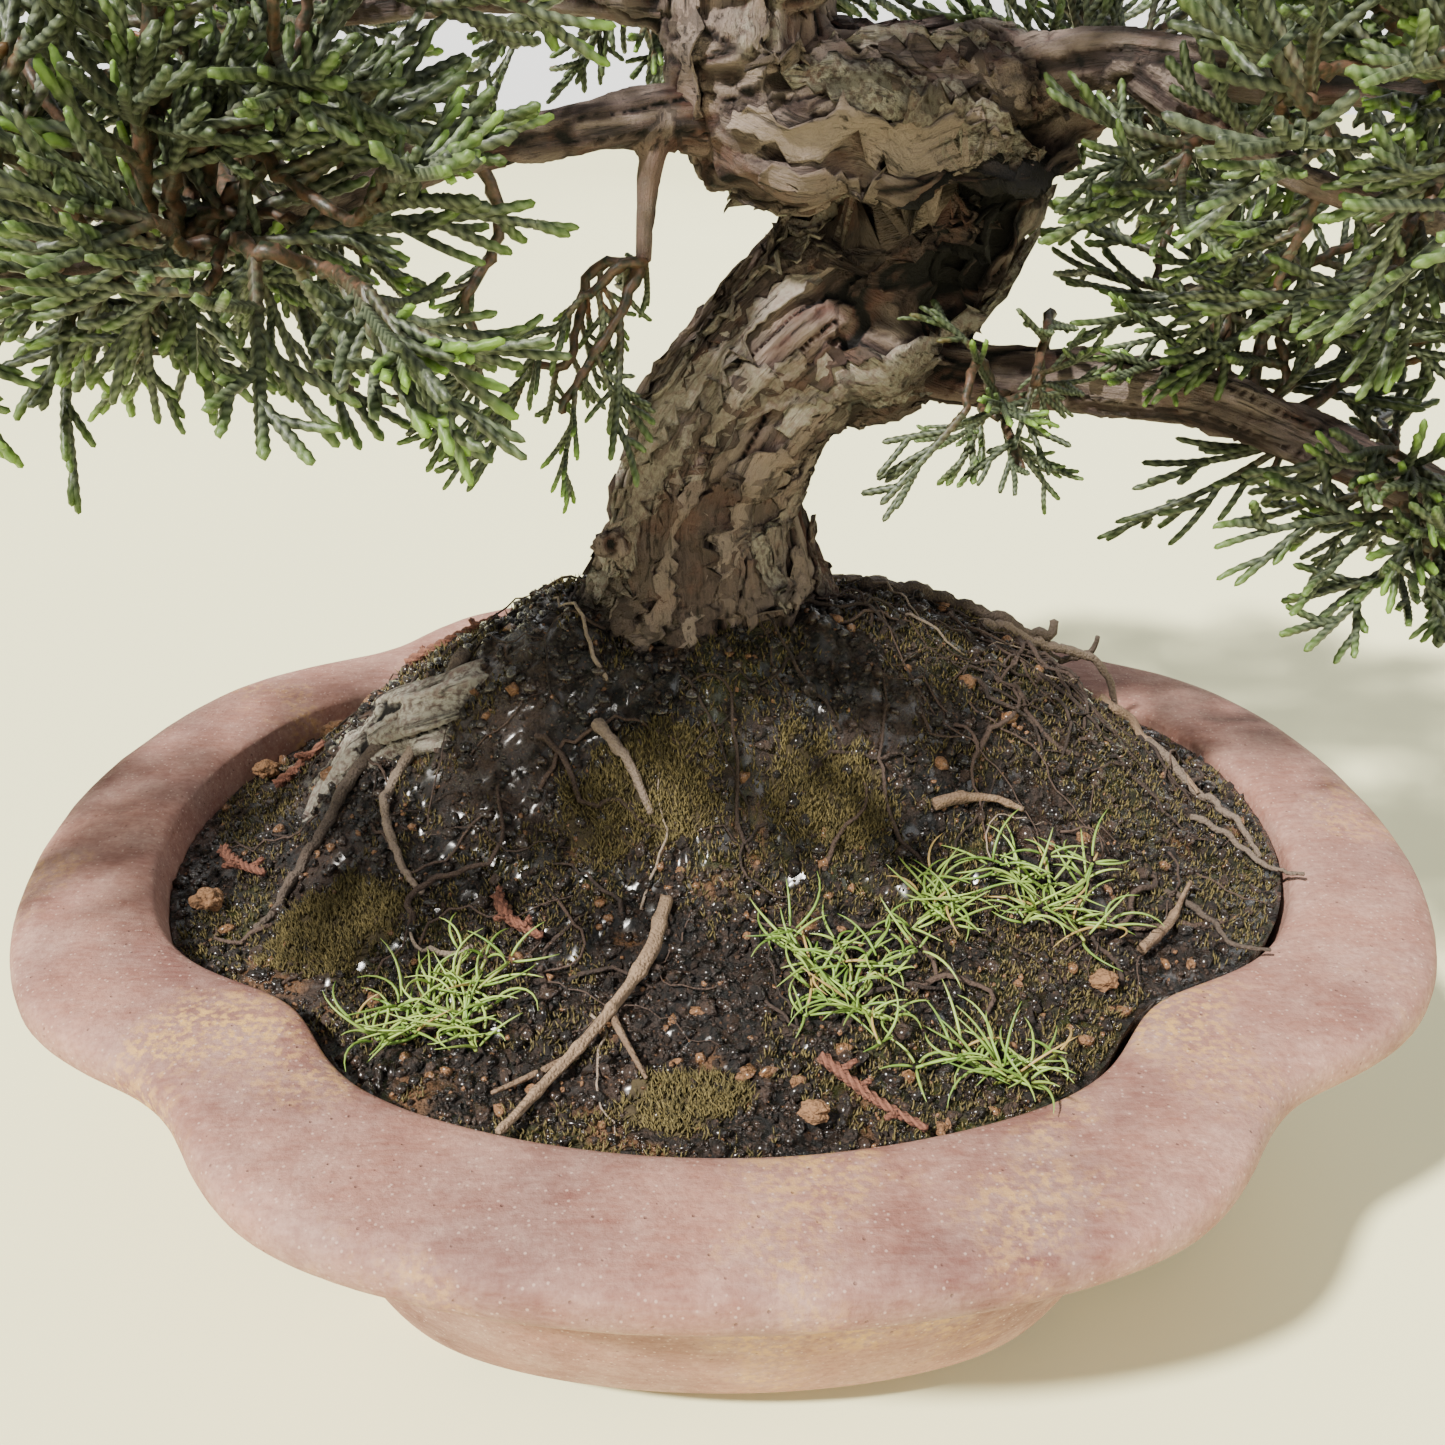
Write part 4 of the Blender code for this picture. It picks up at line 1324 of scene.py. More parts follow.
    def scattered(self, random: np.random.Generator, count: int) -> np.ndarray:
        """Places spread evenly over the soil.

        Args:
            random: the source of random numbers.
            count: how many.

        Returns:
            The places on the soil, one row each.
        """
        angle = random.uniform(0, TAU, count)
        radius = np.sqrt(random.uniform(0, 1, count)) * MOUTH.radius(angle) * 0.985 - 0.7
        x, y = radius * np.cos(angle), radius * np.sin(angle)
        return np.stack([x, y, self.height(x, y)], 1)

    def grow_fuzz(self) -> None:
        """Short dark moss that creeps over much of the soil."""
        random = seeded("fuzz")
        spots = self.scattered(random, self.fuzz)
        kept = layered_noise(spots, 0.05, 35) + 0.6 * smooth_noise(spots, 0.3, 37) > -0.1
        heap = Heap()
        add_spikes(heap, random, spots[kept], 0.7, 2.0)
        finish_piece(heap.build("creeping_moss", MOSS.material()), Slot.MOSS)


def add_spikes(heap: Heap, random: np.random.Generator, roots: np.ndarray, shortest: float,
               tallest: float) -> None:
    """Adds a moss leaf, a small upright spike, at each place.

    Args:
        heap: gathers the shape.
        random: the source of random numbers.
        roots: the places.
        shortest: least height of a spike.
        tallest: greatest height of a spike.
    """
    count = len(roots)
    tall = random.uniform(shortest, tallest, (count, 1))
    leans = random.normal(0, 0.35, (count, 3)) * (1, 1, 0)
    turns = random.uniform(0, TAU, count)
    corners = []
    for k in range(3):
        spread = np.stack([np.cos(turns + TAU * k / 3), np.sin(turns + TAU * k / 3), np.full(count, -0.6)], 1)
        corners.append(roots + spread * 0.26)
    tips = roots + (UP + leans) * tall
    points = np.stack([*corners, tips], axis=1).reshape(-1, 3)
    base = np.arange(count)[:, None] * 4
    faces = np.concatenate([base + np.array(face) for face in ((0, 1, 3), (1, 2, 3), (2, 0, 3), (0, 2, 1))])
    bright = random.uniform(0, 1, count)
    tones = np.stack([np.repeat(bright, 4), np.tile([0.5, 0.5, 0.5, 0.0], count), np.zeros(count * 4)], 1)
    heap.add(points, triangles=faces, tone=tones)


# ---------------------------------------------------------------- roots on the soil
@dataclass
class RootMat:
    """Fine roots and root stubs that lie on the soil, thickest at the right of the trunk."""

    bed: SoilBed
    fibres: int = 120
    strays: int = 150
    named_roots: tuple[tuple[float, tuple[tuple[float, float, float], ...]], ...] = (
        (1.5, ((-52, 2, 2), (-58, -6, 1), (-72, -8, 0.5), (-80, -22, 0.5), (-88, -38, 0))),
        (1.1, ((-60, -8, 1.5), (-66, -18, 0.5), (-62, -30, 0.5), (-56, -38, 0))),
        (1.8, ((30, 24, 0), (48, 28, 2), (62, 27, 3), (72, 29, 6), (74, 31, 12))),
        (1.3, ((56, 22, 0), (72, 28, 4), (82, 31, 11), (88, 31, 10), (91, 30, 2))),
        (1.0, ((62, 30, 0), (76, 34, 6), (84, 35, 14), (85, 34, 18))),
        (1.4, ((20, 30, 1), (44, 40, 3), (64, 42, 2), (88, 38, 2))),
        (1.2, ((-24, -20, 2), (-18, -26, 2.5), (-13, -33, 1))),
        (1.0, ((92, 12, 1), (100, 2, 1), (106, -8, 1.5), (108, -18, 0.5))),
        (0.7, ((96, -10, 1), (103, -15, 1.5), (108, -24, 2), (112, -29, 4.5))),
        (0.6, ((84, -34, 1), (90, -42, 2), (91, -49, 3), (97, -53, 4.5))),
    )

    def build(self) -> None:
        """Makes every root as one piece."""
        random = seeded("roots")
        heap = Heap()
        for number in range(self.fibres + self.strays):
            if number < self.fibres:
                x, y = random.normal(60, 26), random.normal(20, 18)
                heading = random.normal(-0.25, 0.8)
            else:
                x, y = random.uniform(-95, 95), random.uniform(-75, 60)
                heading = random.uniform(0, TAU)
            self.fibre(heap, random, x, y, heading)
        for radius, points in self.named_roots:
            self.named(heap, random, radius, points)
        finish_piece(heap.build("root_mat", ROOT_FIBRE.material()), Slot.BARK)

    def fibre(self, heap: Heap, random: np.random.Generator, x: float, y: float, heading: float) -> None:
        """Adds one fine root that wanders over the soil.

        Args:
            heap: gathers the shape.
            random: the source of random numbers.
            x: start along the pot.
            y: start across the pot.
            heading: first direction in plan.
        """
        radius = 0.16 + 0.5 * random.uniform() ** 2
        count = int(random.uniform(6, 20))
        arch = random.uniform(0.2, 2.6)
        path = []
        for i in range(count):
            share = math.hypot(x, y) / float(MOUTH.radius(np.array(math.atan2(y, x))))
            if share > 0.97:
                break
            lift = arch * math.sin(math.pi * i / count) + 0.25
            path.append((x, y, float(self.bed.height(x, y)) + lift))
            heading += random.normal(0, 0.36)
            x += 2.0 * math.cos(heading)
            y += 2.0 * math.sin(heading)
        if len(path) < 5:
            return
        taper = radius * np.linspace(1.2, 0.5, len(path))
        tone = (random.uniform(0, 1), float(random.uniform() < 0.08) * 0.8, 0.0)
        heap.add(*tube(np.array(path), taper, sides=5), tone=tone)

    def named(self, heap: Heap, random: np.random.Generator, radius: float,
              points: tuple[tuple[float, float, float], ...]) -> None:
        """Adds one root that shows well.

        Args:
            heap: gathers the shape.
            random: the source of random numbers.
            radius: its thickest radius.
            points: places along it as x, y and height above the soil.
        """
        route = even_route([(x, y, lift) for x, y, lift in points], 1.1)
        shares = np.hypot(route[:, 0], route[:, 1]) / MOUTH.radius(np.arctan2(route[:, 1], route[:, 0]))
        ground = np.where(shares < 0.99, self.bed.height(route[:, 0], route[:, 1]), RIM_HEIGHT - 3)
        route[:, 2] += ground + radius * 0.6
        route += 0.35 * random.normal(size=route.shape) * (0.2, 0.2, 0.2)
        sides = 9
        taper = radius * np.linspace(1.1, 0.55, len(route))
        knobs = 1 + 0.2 * random.normal(size=(len(route), sides)) * 0.6
        grey = random.uniform(0.2, 1.0)
        heap.add(*tube(route, taper[:, None] * knobs), tone=(grey, grey * 0.6, 0.0))


# ---------------------------------------------------------------- wood
@dataclass(frozen=True)
class Limb:
    """One stretch of wood with twisted ridges and, where it is thick, strands that bulge like cables."""

    name: str
    points: tuple[tuple[float, ...], ...]
    ridges: int
    depth: float
    twist: float
    strands: int = 0


@dataclass
class TreeWood:
    """Trunk, branches and surface root, grown together and covered in flaking bark."""

    trunk_voxel: float = 0.72
    branch_voxel: float = 0.85
    knuckle: tuple[float, ...] = (45, 15, 201, 16.5)
    knobs: tuple[tuple[float, ...], ...] = (
        (-20, 0, 130, 3.4), (40, -1, 186, 8.0), (56, 6, 205, 7.5), (22, -13, 208, 5.5), (2, -14, 216, 5.5),
        (46, -3, 209, 7.0), (10, -13, 224, 4.5),
    )
    # dents pushed into the wood; carve also darkens them as painted shade
    hollows: tuple[tuple[float, ...], ...] = ((43, -3, 183, 14, 7.0), (30, -4, 190, 8, 3.0), (54, 2, 190, 10, 4.0))
    flare_angles: tuple[float, ...] = (14, 58, 120, 172)
    plates: int = 150
    samples: np.ndarray = field(default_factory=lambda: np.zeros((0, 4)))
    grain_axes: np.ndarray = field(default_factory=lambda: np.zeros((0, 10)))

    def thick_limbs(self) -> list[Limb]:
        """The trunk's three stretches and the surface root."""
        return [
            Limb("lower_trunk", tuple(LOWER_TRUNK), 9, 0.20, 0.010, 9),
            Limb("middle_trunk", tuple(MIDDLE_TRUNK), 7, 0.18, 0.012, 6),
            Limb("upper_trunk", tuple(UPPER_TRUNK), 7, 0.18, 0.014, 6),
            Limb("surface_root", tuple(SURFACE_ROOT), 5, 0.18, 0.012, 3),
            Limb("bark_ledge", tuple(BARK_LEDGE), 3, 0.55, 0.09),
        ]

    def limbs(self) -> list[Limb]:
        """Every stretch of wood, the thick ones first."""
        return self.thick_limbs() + [Limb(name, tuple(points), 4, 0.26, 0.03) for name, points in BRANCHES.items()]

    def build(self) -> None:
        """Makes the wood and its loose bark."""
        self.collect_samples()
        trunk, branches = Heap(), Heap()
        for limb in self.thick_limbs():
            self.add_limb(trunk, limb)
            self.add_strands(trunk, limb)
        self.add_knobs(trunk)
        self.add_flare(trunk)
        for limb in self.limbs()[5:]:
            self.add_limb(branches, limb)
        trunk_mesh = self.grown(trunk, "trunk_rough", self.trunk_voxel)
        branch_mesh = self.grown(branches, "branches_rough", self.branch_voxel)
        finish_piece(place_object("living_trunk", trunk_mesh, BARK.material()), Slot.BARK, "trunk_and_branches")
        finish_piece(place_object("living_branches", branch_mesh, BARK.material()), Slot.BARK)
        self.add_plates(trunk_mesh)

    def grown(self, heap: Heap, name: str, voxel: float) -> bpy.types.Mesh:
        """Joins overlapping shapes into one skin and carves its bark.

        Args:
            heap: the shapes.
            name: a name for the rough object.
            voxel: size of the skin's faces.

        Returns:
            The finished mesh.
        """
        rough = heap.build(name, None)
        step = rough.modifiers.new("remesh", "REMESH")
        step.mode = "VOXEL"
        step.voxel_size = voxel * MM
        mesh = baked_copy(rough)
        self.carve(mesh)
        mesh.shade_smooth()
        return mesh

    def collect_samples(self) -> None:
        """Middle line of all the wood, with the axes that the grain follows."""
        rows, axes = [], []
        run = 0.0
        for limb in self.limbs():
            route = even_route(list(limb.points), 1.5)
            ahead, side, across = frames_along(route[:, :3])
            along = run + 1.5 * np.arange(len(route))
            run = along[-1] + 50.0
            rows.append(route)
            axes.append(np.concatenate([side, across, ahead, along[:, None]], axis=1))
        self.samples = np.concatenate(rows)
        self.grain_axes = np.concatenate(axes)

    def add_limb(self, heap: Heap, limb: Limb) -> None:
        """Adds one stretch with ridges that wind round it.

        Args:
            heap: gathers the shape.
            limb: the stretch.
        """
        route = even_route(list(limb.points), 0.9)
        core = 0.86 if limb.strands else 1.0
        sides = int(np.clip(TAU * route[:, 3].max() / 0.75, 18, 200))
        angle = TAU * np.arange(sides)[None] / sides
        along = 0.9 * np.arange(len(route))[:, None]
        seed = zlib.crc32(limb.name.encode()) % 97
        ring = grid(np.cos(angle) * 1.1, np.sin(angle) * 1.1, along * 0.06)
        turned = angle + limb.twist * along + 0.55 * smooth_noise(ring, 1.0, seed)
        broad = np.abs(np.cos(turned * limb.ridges / 2)) ** 0.75
        narrow = np.abs(np.cos(turned * (2 * limb.ridges + 1) / 2 + 0.8)) ** 0.8
        uneven = smooth_noise(ring, 1.7, seed + 5)
        factor = core + limb.depth * (0.75 + 0.5 * uneven) * (broad - 0.68) + 0.4 * limb.depth * (narrow - 0.66)
        factor = factor + 0.14 * smooth_noise(ring, 2.4, seed + 9) + 0.1 * smooth_noise(ring, 5.0, seed + 11)
        heap.add(*tube(route[:, :3], route[:, 3:4] * factor))

    def add_strands(self, heap: Heap, limb: Limb) -> None:
        """Adds the strands of live wood that bulge along a thick stretch.

        Args:
            heap: gathers the shape.
            limb: the stretch.
        """
        random = seeded(f"{limb.name} strands")
        route = even_route(list(limb.points), 1.0)
        _, side, across = frames_along(route[:, :3])
        along = np.arange(len(route), dtype=float)
        for number in range(limb.strands):
            where = np.stack([along / 17, np.full(len(along), 5.3 * number), np.zeros(len(along))], axis=1)
            angle = TAU * number / limb.strands + limb.twist * along + 0.42 * smooth_noise(where, 1.0, 91)
            way = side * np.cos(angle)[:, None] + across * np.sin(angle)[:, None]
            out = route[:, 3] * (0.66 + 0.13 * smooth_noise(where, 0.8, 92))
            thick = route[:, 3] * (0.33 + 0.13 * smooth_noise(where, 1.5, 93))
            first = int(random.uniform(0, 0.3) * len(route)) if number % 2 else 0
            last = int(random.uniform(0.7, 1.0) * len(route)) if number % 3 else len(route)
            ends = np.minimum(smoothstep(along, first - 1, first + 14), smoothstep(-along, -last, 14 - last))
            path = route[:, :3] + way * (out * (0.55 + 0.45 * ends))[:, None]
            bulge = grid(along[:, None] / 7, np.arange(22)[None] / 4.0, 7.0 * number)
            radii = (thick * (0.35 + 0.65 * ends))[:, None] * (1 + 0.16 * smooth_noise(bulge, 1.0, 94))
            heap.add(*tube(path[first:last], radii[first:last]))

    def add_knobs(self, heap: Heap) -> None:
        """Adds the swollen elbow and the smaller burls."""
        shape, faces = ball(5)
        x, y, z, radius = self.knuckle
        lump = shape * (radius * (1 + 0.16 * layered_noise(shape, 1.6, 41))[:, None])
        heap.add(lump + (x, y, z), triangles=faces)
        for number, (x, y, z, radius) in enumerate(self.knobs):
            lump = shape * (radius * (1 + 0.3 * layered_noise(shape, 1.2, 43 + number))[:, None])
            heap.add(lump * (1.3, 0.8, 0.8) + (x, y, z), triangles=faces)

    def add_flare(self, heap: Heap) -> None:
        """Adds the roots that spread from the trunk's foot into the soil."""
        random = seeded("root flare")
        for degrees in self.flare_angles:
            turn = math.radians(degrees + random.uniform(-8, 8))
            reach = random.uniform(0.9, 1.12)
            steps = ((11, 136, 5.5), (16, 124, 6.5), (21 * reach, 113, 7.0), (29 * reach, 103, 6.0),
                     (40 * reach, 94, 4.0))
            points = []
            for away, z, radius in steps:
                way = turn + 0.01 * (136 - z)
                points.append((-3 + 0.95 * away * math.cos(way), 11 + away * math.sin(way), z, radius))
            route = even_route(points, 1.0)
            bulge = grid(np.arange(len(route))[:, None] / 8, np.arange(26)[None] / 4.0, turn)
            heap.add(*tube(route[:, :3], route[:, 3:4] * (1 + 0.2 * smooth_noise(bulge, 1.0, 95))))

    def grain_at(self, points: np.ndarray) -> tuple[np.ndarray, np.ndarray]:
        """Coordinates that follow the wood's grain.

        Args:
            points: places on the wood.

        Returns:
            Grain coordinates, two round the wood and one along it, and the wood's radius there.
        """
        tree = KDTree(len(self.samples))
        for number, row in enumerate(self.samples):
            tree.insert(row[:3], number)
        tree.balance()
        nearest = np.array([tree.find(point)[1] for point in points])
        sample, axes = self.samples[nearest], self.grain_axes[nearest]
        offset = points - sample[:, :3]
        round_x = (offset * axes[:, 0:3]).sum(1)
        round_y = (offset * axes[:, 3:6]).sum(1)
        along = axes[:, 9] + (offset * axes[:, 6:9]).sum(1)
        return np.stack([round_x, round_y, along], axis=1), sample[:, 3]

    def carve(self, mesh: bpy.types.Mesh) -> None:
        """Cuts the bark's fibres and cracks, darkens the cracks and dents as painted shade, and marks lichen and algae.

        Args:
            mesh: the joined wood, changed in place.
        """
        points = vertices_of(mesh)
        normals = np.empty(len(points) * 3, dtype=np.float32)
        mesh.vertices.foreach_get("normal", normals)
        normals = normals.reshape(-1, 3)
        grain, radius = self.grain_at(points)
        thick = np.clip(radius / 8, 0.4, 1.0)
        plates = 1 - 2 * np.abs(smooth_noise(grain, (0.3, 0.3, 0.05), 51))
        fibres = smooth_noise(grain, (0.75, 0.75, 0.1), 53)
        cracks = smoothstep(np.abs(smooth_noise(grain, (0.2, 0.2, 0.03), 55)), 0.12, 0.0)
        breaks = smoothstep(np.abs(smooth_noise(grain, (0.12, 0.12, 0.11), 57)), 0.06, 0.0) * 0.6
        depth = 0.7 * plates + 0.45 * fibres - 1.5 * cracks - 0.9 * breaks
        dent = sum(deep * np.exp(-((points - (x, y, z)) ** 2).sum(1) / wide ** 2)
                   for x, y, z, wide, deep in self.hollows)
        points = points + normals * (depth * thick * 0.9 - dent)[:, None]
        mesh.vertices.foreach_set("co", (points * MM).astype(np.float32).ravel())
        mesh.update()
        # painted shade: the relief tone sinks in the cracks and in the dents, and the finish paints those places dark
        relief_shade = np.clip(0.62 + depth * (0.4 + 0.6 * thick) / 2.4 - dent * 0.11, 0, 1)
        lichen = smoothstep(layered_noise(points, 0.06, 61), 0.45, 0.9) * smoothstep(relief_shade, 0.3, 0.6) * 0.5
        low_down = smoothstep(135 - points[:, 2], 0, 25)
        algae = low_down * smoothstep(layered_noise(points, 0.06, 63), -0.1, 0.5)
        root = smoothstep(-28 - points[:, 0], 0, 12) * smoothstep(115 - points[:, 2], 0, 6)
        lichen = np.maximum(lichen, root)
        set_tone(mesh, np.stack([relief_shade, lichen, algae * (1 - root)], 1))
        self.store_grain(mesh, grain)

    def store_grain(self, mesh: bpy.types.Mesh, grain: np.ndarray) -> None:
        """Keeps the grain coordinates on the mesh for the finish.

        Args:
            mesh: the mesh to mark.
            grain: grain coordinates of its vertices.
        """
        layer = mesh.attributes.new("grain", "FLOAT_VECTOR", "POINT")
        layer.data.foreach_set("vector", grain.astype(np.float32).ravel())

    def add_plates(self, mesh: bpy.types.Mesh) -> None:
        """Lays peeling strips of bark on the thick wood.

        Args:
            mesh: the finished wood under them.
        """
        flat = [Vector(point) for point in vertices_of(mesh)]
        surface = BVHTree.FromPolygons(flat, [tuple(face.vertices) for face in mesh.polygons])
        random = seeded("bark plates")
        heap = Heap()
        routes = [even_route(list(limb.points), 1.2) for limb in self.thick_limbs()[:3]]
        weights = np.array([len(route) * route[:, 3].mean() for route in routes])
        picks = random.choice(len(routes), self.plates, p=weights / weights.sum())
        for pick in picks:
            self.plate(heap, surface, random, routes[pick])
        item = heap.build("peeling_bark", BARK.material())
        self.store_grain(item.data, self.grain_at(vertices_of(item.data))[0])
        finish_piece(item, Slot.BARK)

    def plate(self, heap: Heap, surface: BVHTree, random: np.random.Generator, route: np.ndarray) -> None:
        """Adds one strip of bark that hugs the wood and curls at its edges.

        Args:
            heap: gathers the shape.
            surface: the wood's surface.
            random: the source of random numbers.
            route: middle line of the wood that carries the strip.
        """
        length = int(random.uniform(14, 52))
        start = int(random.uniform(0, max(len(route) - length - 1, 1)))
        part = route[start:start + length]
        if len(part) < 6:
            return
        _, side, across = frames_along(part[:, :3])
        angle = random.uniform(0, TAU) + 0.012 * 1.2 * np.arange(len(part)) + 0.15 * np.cumsum(
            random.normal(size=len(part))) * 0.3
        width = random.uniform(1.2, 4.6)
        curl = random.uniform(0.2, 1.8)
        end_curl = random.uniform(0.0, 4.5) * (random.uniform() < 0.5)
        columns = 7
        shares = np.linspace(-1, 1, columns)
        t = np.linspace(0, 1, len(part))
        outline = np.sin(math.pi * np.clip(t, 0.03, 0.97)) ** 0.45
        ragged = 1 + 0.22 * random.normal(size=len(part))
        top, bottom = [], []
        for i, row in enumerate(part):
            for share in shares:
                turn = angle[i] + share * width * outline[i] * ragged[i] / row[3]
                way = side[i] * math.cos(turn) + across[i] * math.sin(turn)
                hit = surface.find_nearest(Vector(row[:3] + way * row[3] * 1.1))
                spot, normal = np.array(hit[0]), np.array(hit[1])
                lift = 0.35 + curl * max(share, 0) ** 2 + end_curl * max(t[i] - 0.75, 0) ** 2 * 10
                top.append(spot + normal * (lift + 0.55))
                bottom.append(spot + normal * (lift - 0.15))
        heap.add(*closed_sheet(np.array(top), np.array(bottom), columns), tone=self.plate_tone(random))

    def plate_tone(self, random: np.random.Generator) -> tuple[float, float, float]:
        """Tone of one strip: high relief, so no painted shade, sometimes grey with lichen."""
        return (random.uniform(0.5, 1.0), random.uniform(0.0, 0.9) * (random.uniform() < 0.4), 0.0)


def closed_sheet(top: np.ndarray, bottom: np.ndarray, columns: int) -> tuple[np.ndarray, np.ndarray]:
    """Thin closed sheet from the grids of its two faces.

    Args:
        top: points of the upper face, row by row.
        bottom: points of the lower face, in the same order.
        columns: points in a row.

    Returns:
        Vertices and quads.
    """
    rows = len(top) // columns
    index = np.arange(rows * columns).reshape(rows, columns)
    a, b, c, d = index[:-1, :-1], index[:-1, 1:], index[1:, 1:], index[1:, :-1]
    upper = np.stack([a, b, c, d], axis=-1).reshape(-1, 4)
    lower = np.stack([d, c, b, a], axis=-1).reshape(-1, 4) + rows * columns
    rim = np.concatenate([index[0, :-1], index[:-1, -1], index[-1, :0:-1], index[:0:-1, 0]])
    after = np.roll(rim, -1)
    wall = np.stack([rim, rim + rows * columns, after + rows * columns, after], axis=1)
    return np.concatenate([top, bottom]), np.concatenate([upper, lower, wall])


# ---------------------------------------------------------------- foliage
@dataclass
class Spray:
    """One flat fan of scale-leaved shoots, growing along +X with its flat side up."""

    name: str
    length: float
    scale_pitch: float = 0.85
    shoot_radius: float = 0.98
    low_side: float = 0.78
    points: np.ndarray = field(default_factory=lambda: np.zeros((0, 3)))
    quads: np.ndarray = field(default_factory=lambda: np.zeros((0, 4), dtype=np.int64))
    triangles: np.ndarray = field(default_factory=lambda: np.zeros((0, 3), dtype=np.int64))
    tones: np.ndarray = field(default_factory=lambda: np.zeros((0, 3)))

    def build(self) -> "Spray":
        """Grows the fan and keeps it as arrays."""
        random = seeded(self.name)
        heap = Heap()
        axis = self.line(random, np.zeros(3), 0.0, self.length, random.normal(0, 0.15))
        self.shoot(heap, axis, 1.0, 0.6)
        place, hand = random.uniform(0.15, 0.3) * self.length, 1
        while place < self.length * 0.85:
            spot = axis[min(int(place / self.scale_pitch), len(axis) - 1)]
            reach = (0.75 - 0.45 * place / self.length) * self.length * random.uniform(0.6, 1.2)
            angle = hand * random.uniform(0.45, 0.85)
            side = self.line(random, spot, angle, max(reach, 5.0), -hand * random.uniform(0.0, 0.35))
            self.shoot(heap, side, random.uniform(0.86, 1.0), 0.0)
            if reach > 10:
                self.fork(heap, random, side, angle, hand)
            place += random.uniform(3.4, 6.6)
            hand = -hand if random.uniform() < 0.8 else hand
        self.points = np.concatenate(heap.points)
        self.quads = np.concatenate(heap.quads)
        self.triangles = np.concatenate(heap.triangles)
        self.tones = np.concatenate(heap.tones)
        return self

    def line(self, random: np.random.Generator, start: np.ndarray, angle: float, length: float,
             bend: float) -> np.ndarray:
        """Middle line of a shoot that bends a little.

        Args:
            random: the source of random numbers.
            start: where it begins.
            angle: its first direction in the fan's plane.
            length: how long it is.
            bend: how far its direction turns on the way, in radians.

        Returns:
            Points at the pitch of the scales.
        """
        count = max(int(length / self.scale_pitch), 3)
        t = np.linspace(0, 1, count + 1)[1:]
        heading = angle + bend * t + random.normal(0, 0.05)
        rise = random.normal(0.0, 0.24) + random.uniform(0.0, 0.3) * t * t
        steps = np.stack([np.cos(heading) * np.cos(rise), np.sin(heading) * np.cos(rise), np.sin(rise)], axis=1)
        return np.concatenate([[start], start + np.cumsum(steps, axis=0) * self.scale_pitch])

    def shoot(self, heap: Heap, path: np.ndarray, size: float, woody: float) -> None:
        """Adds one shoot whose scales stand out in crossed pairs.

        Args:
            heap: gathers the shape.
            path: its middle line.
            size: its thickness against the standard one.
            woody: how brown its start is.
        """
        count = len(path)
        t = np.linspace(0, 1, count)
        low = self.low_side
        pairs = np.array([[1.0, low, 1.0, low], [low, 1.0, low, 1.0]])[np.arange(count) % 2]
        taper = size * self.shoot_radius * (1.0 - 0.12 * t)
        taper[-1] *= 0.74
        points, quads, triangles = tube(path, pairs * taper[:, None], turn=TAU / 8, blunt=0.8)
        young = smoothstep(np.arange(count), count - 7, count)
        tones = np.zeros((len(points), 3))
        tones[:-2, 0] = np.repeat(young, 4) * 0.8
        tones[-1, 0] = 0.9
        tones[:-2, 1] = (pairs.ravel() - low) / (1 - low)
        tones[:-2, 2] = np.repeat(woody * smoothstep(1 - t, 0.45, 0.95), 4)
        tones[-2, 2] = woody
        heap.add(points, quads, triangles, tones)

    def fork(self, heap: Heap, random: np.random.Generator, side: np.ndarray, angle: float, hand: int) -> None:
        """Adds short shoots that fork off a side shoot.

        Args:
            heap: gathers the shape.
            random: the source of random numbers.
            side: the side shoot's middle line.
            angle: the side shoot's direction.
            hand: 1 or -1, the side of the axis that it grows on.
        """
        for share, turn in ((0.3, 1), (0.6, -1)):
            if random.uniform() < 0.25:
                continue
            spot = side[int(share * (len(side) - 1))]
            length = random.uniform(4.0, 0.6 * len(side) * self.scale_pitch + 2.0)
            way = angle + turn * hand * random.uniform(0.4, 0.7)
            self.shoot(heap, self.line(random, spot, way, length, -turn * hand * 0.3), 0.85, 0.0)


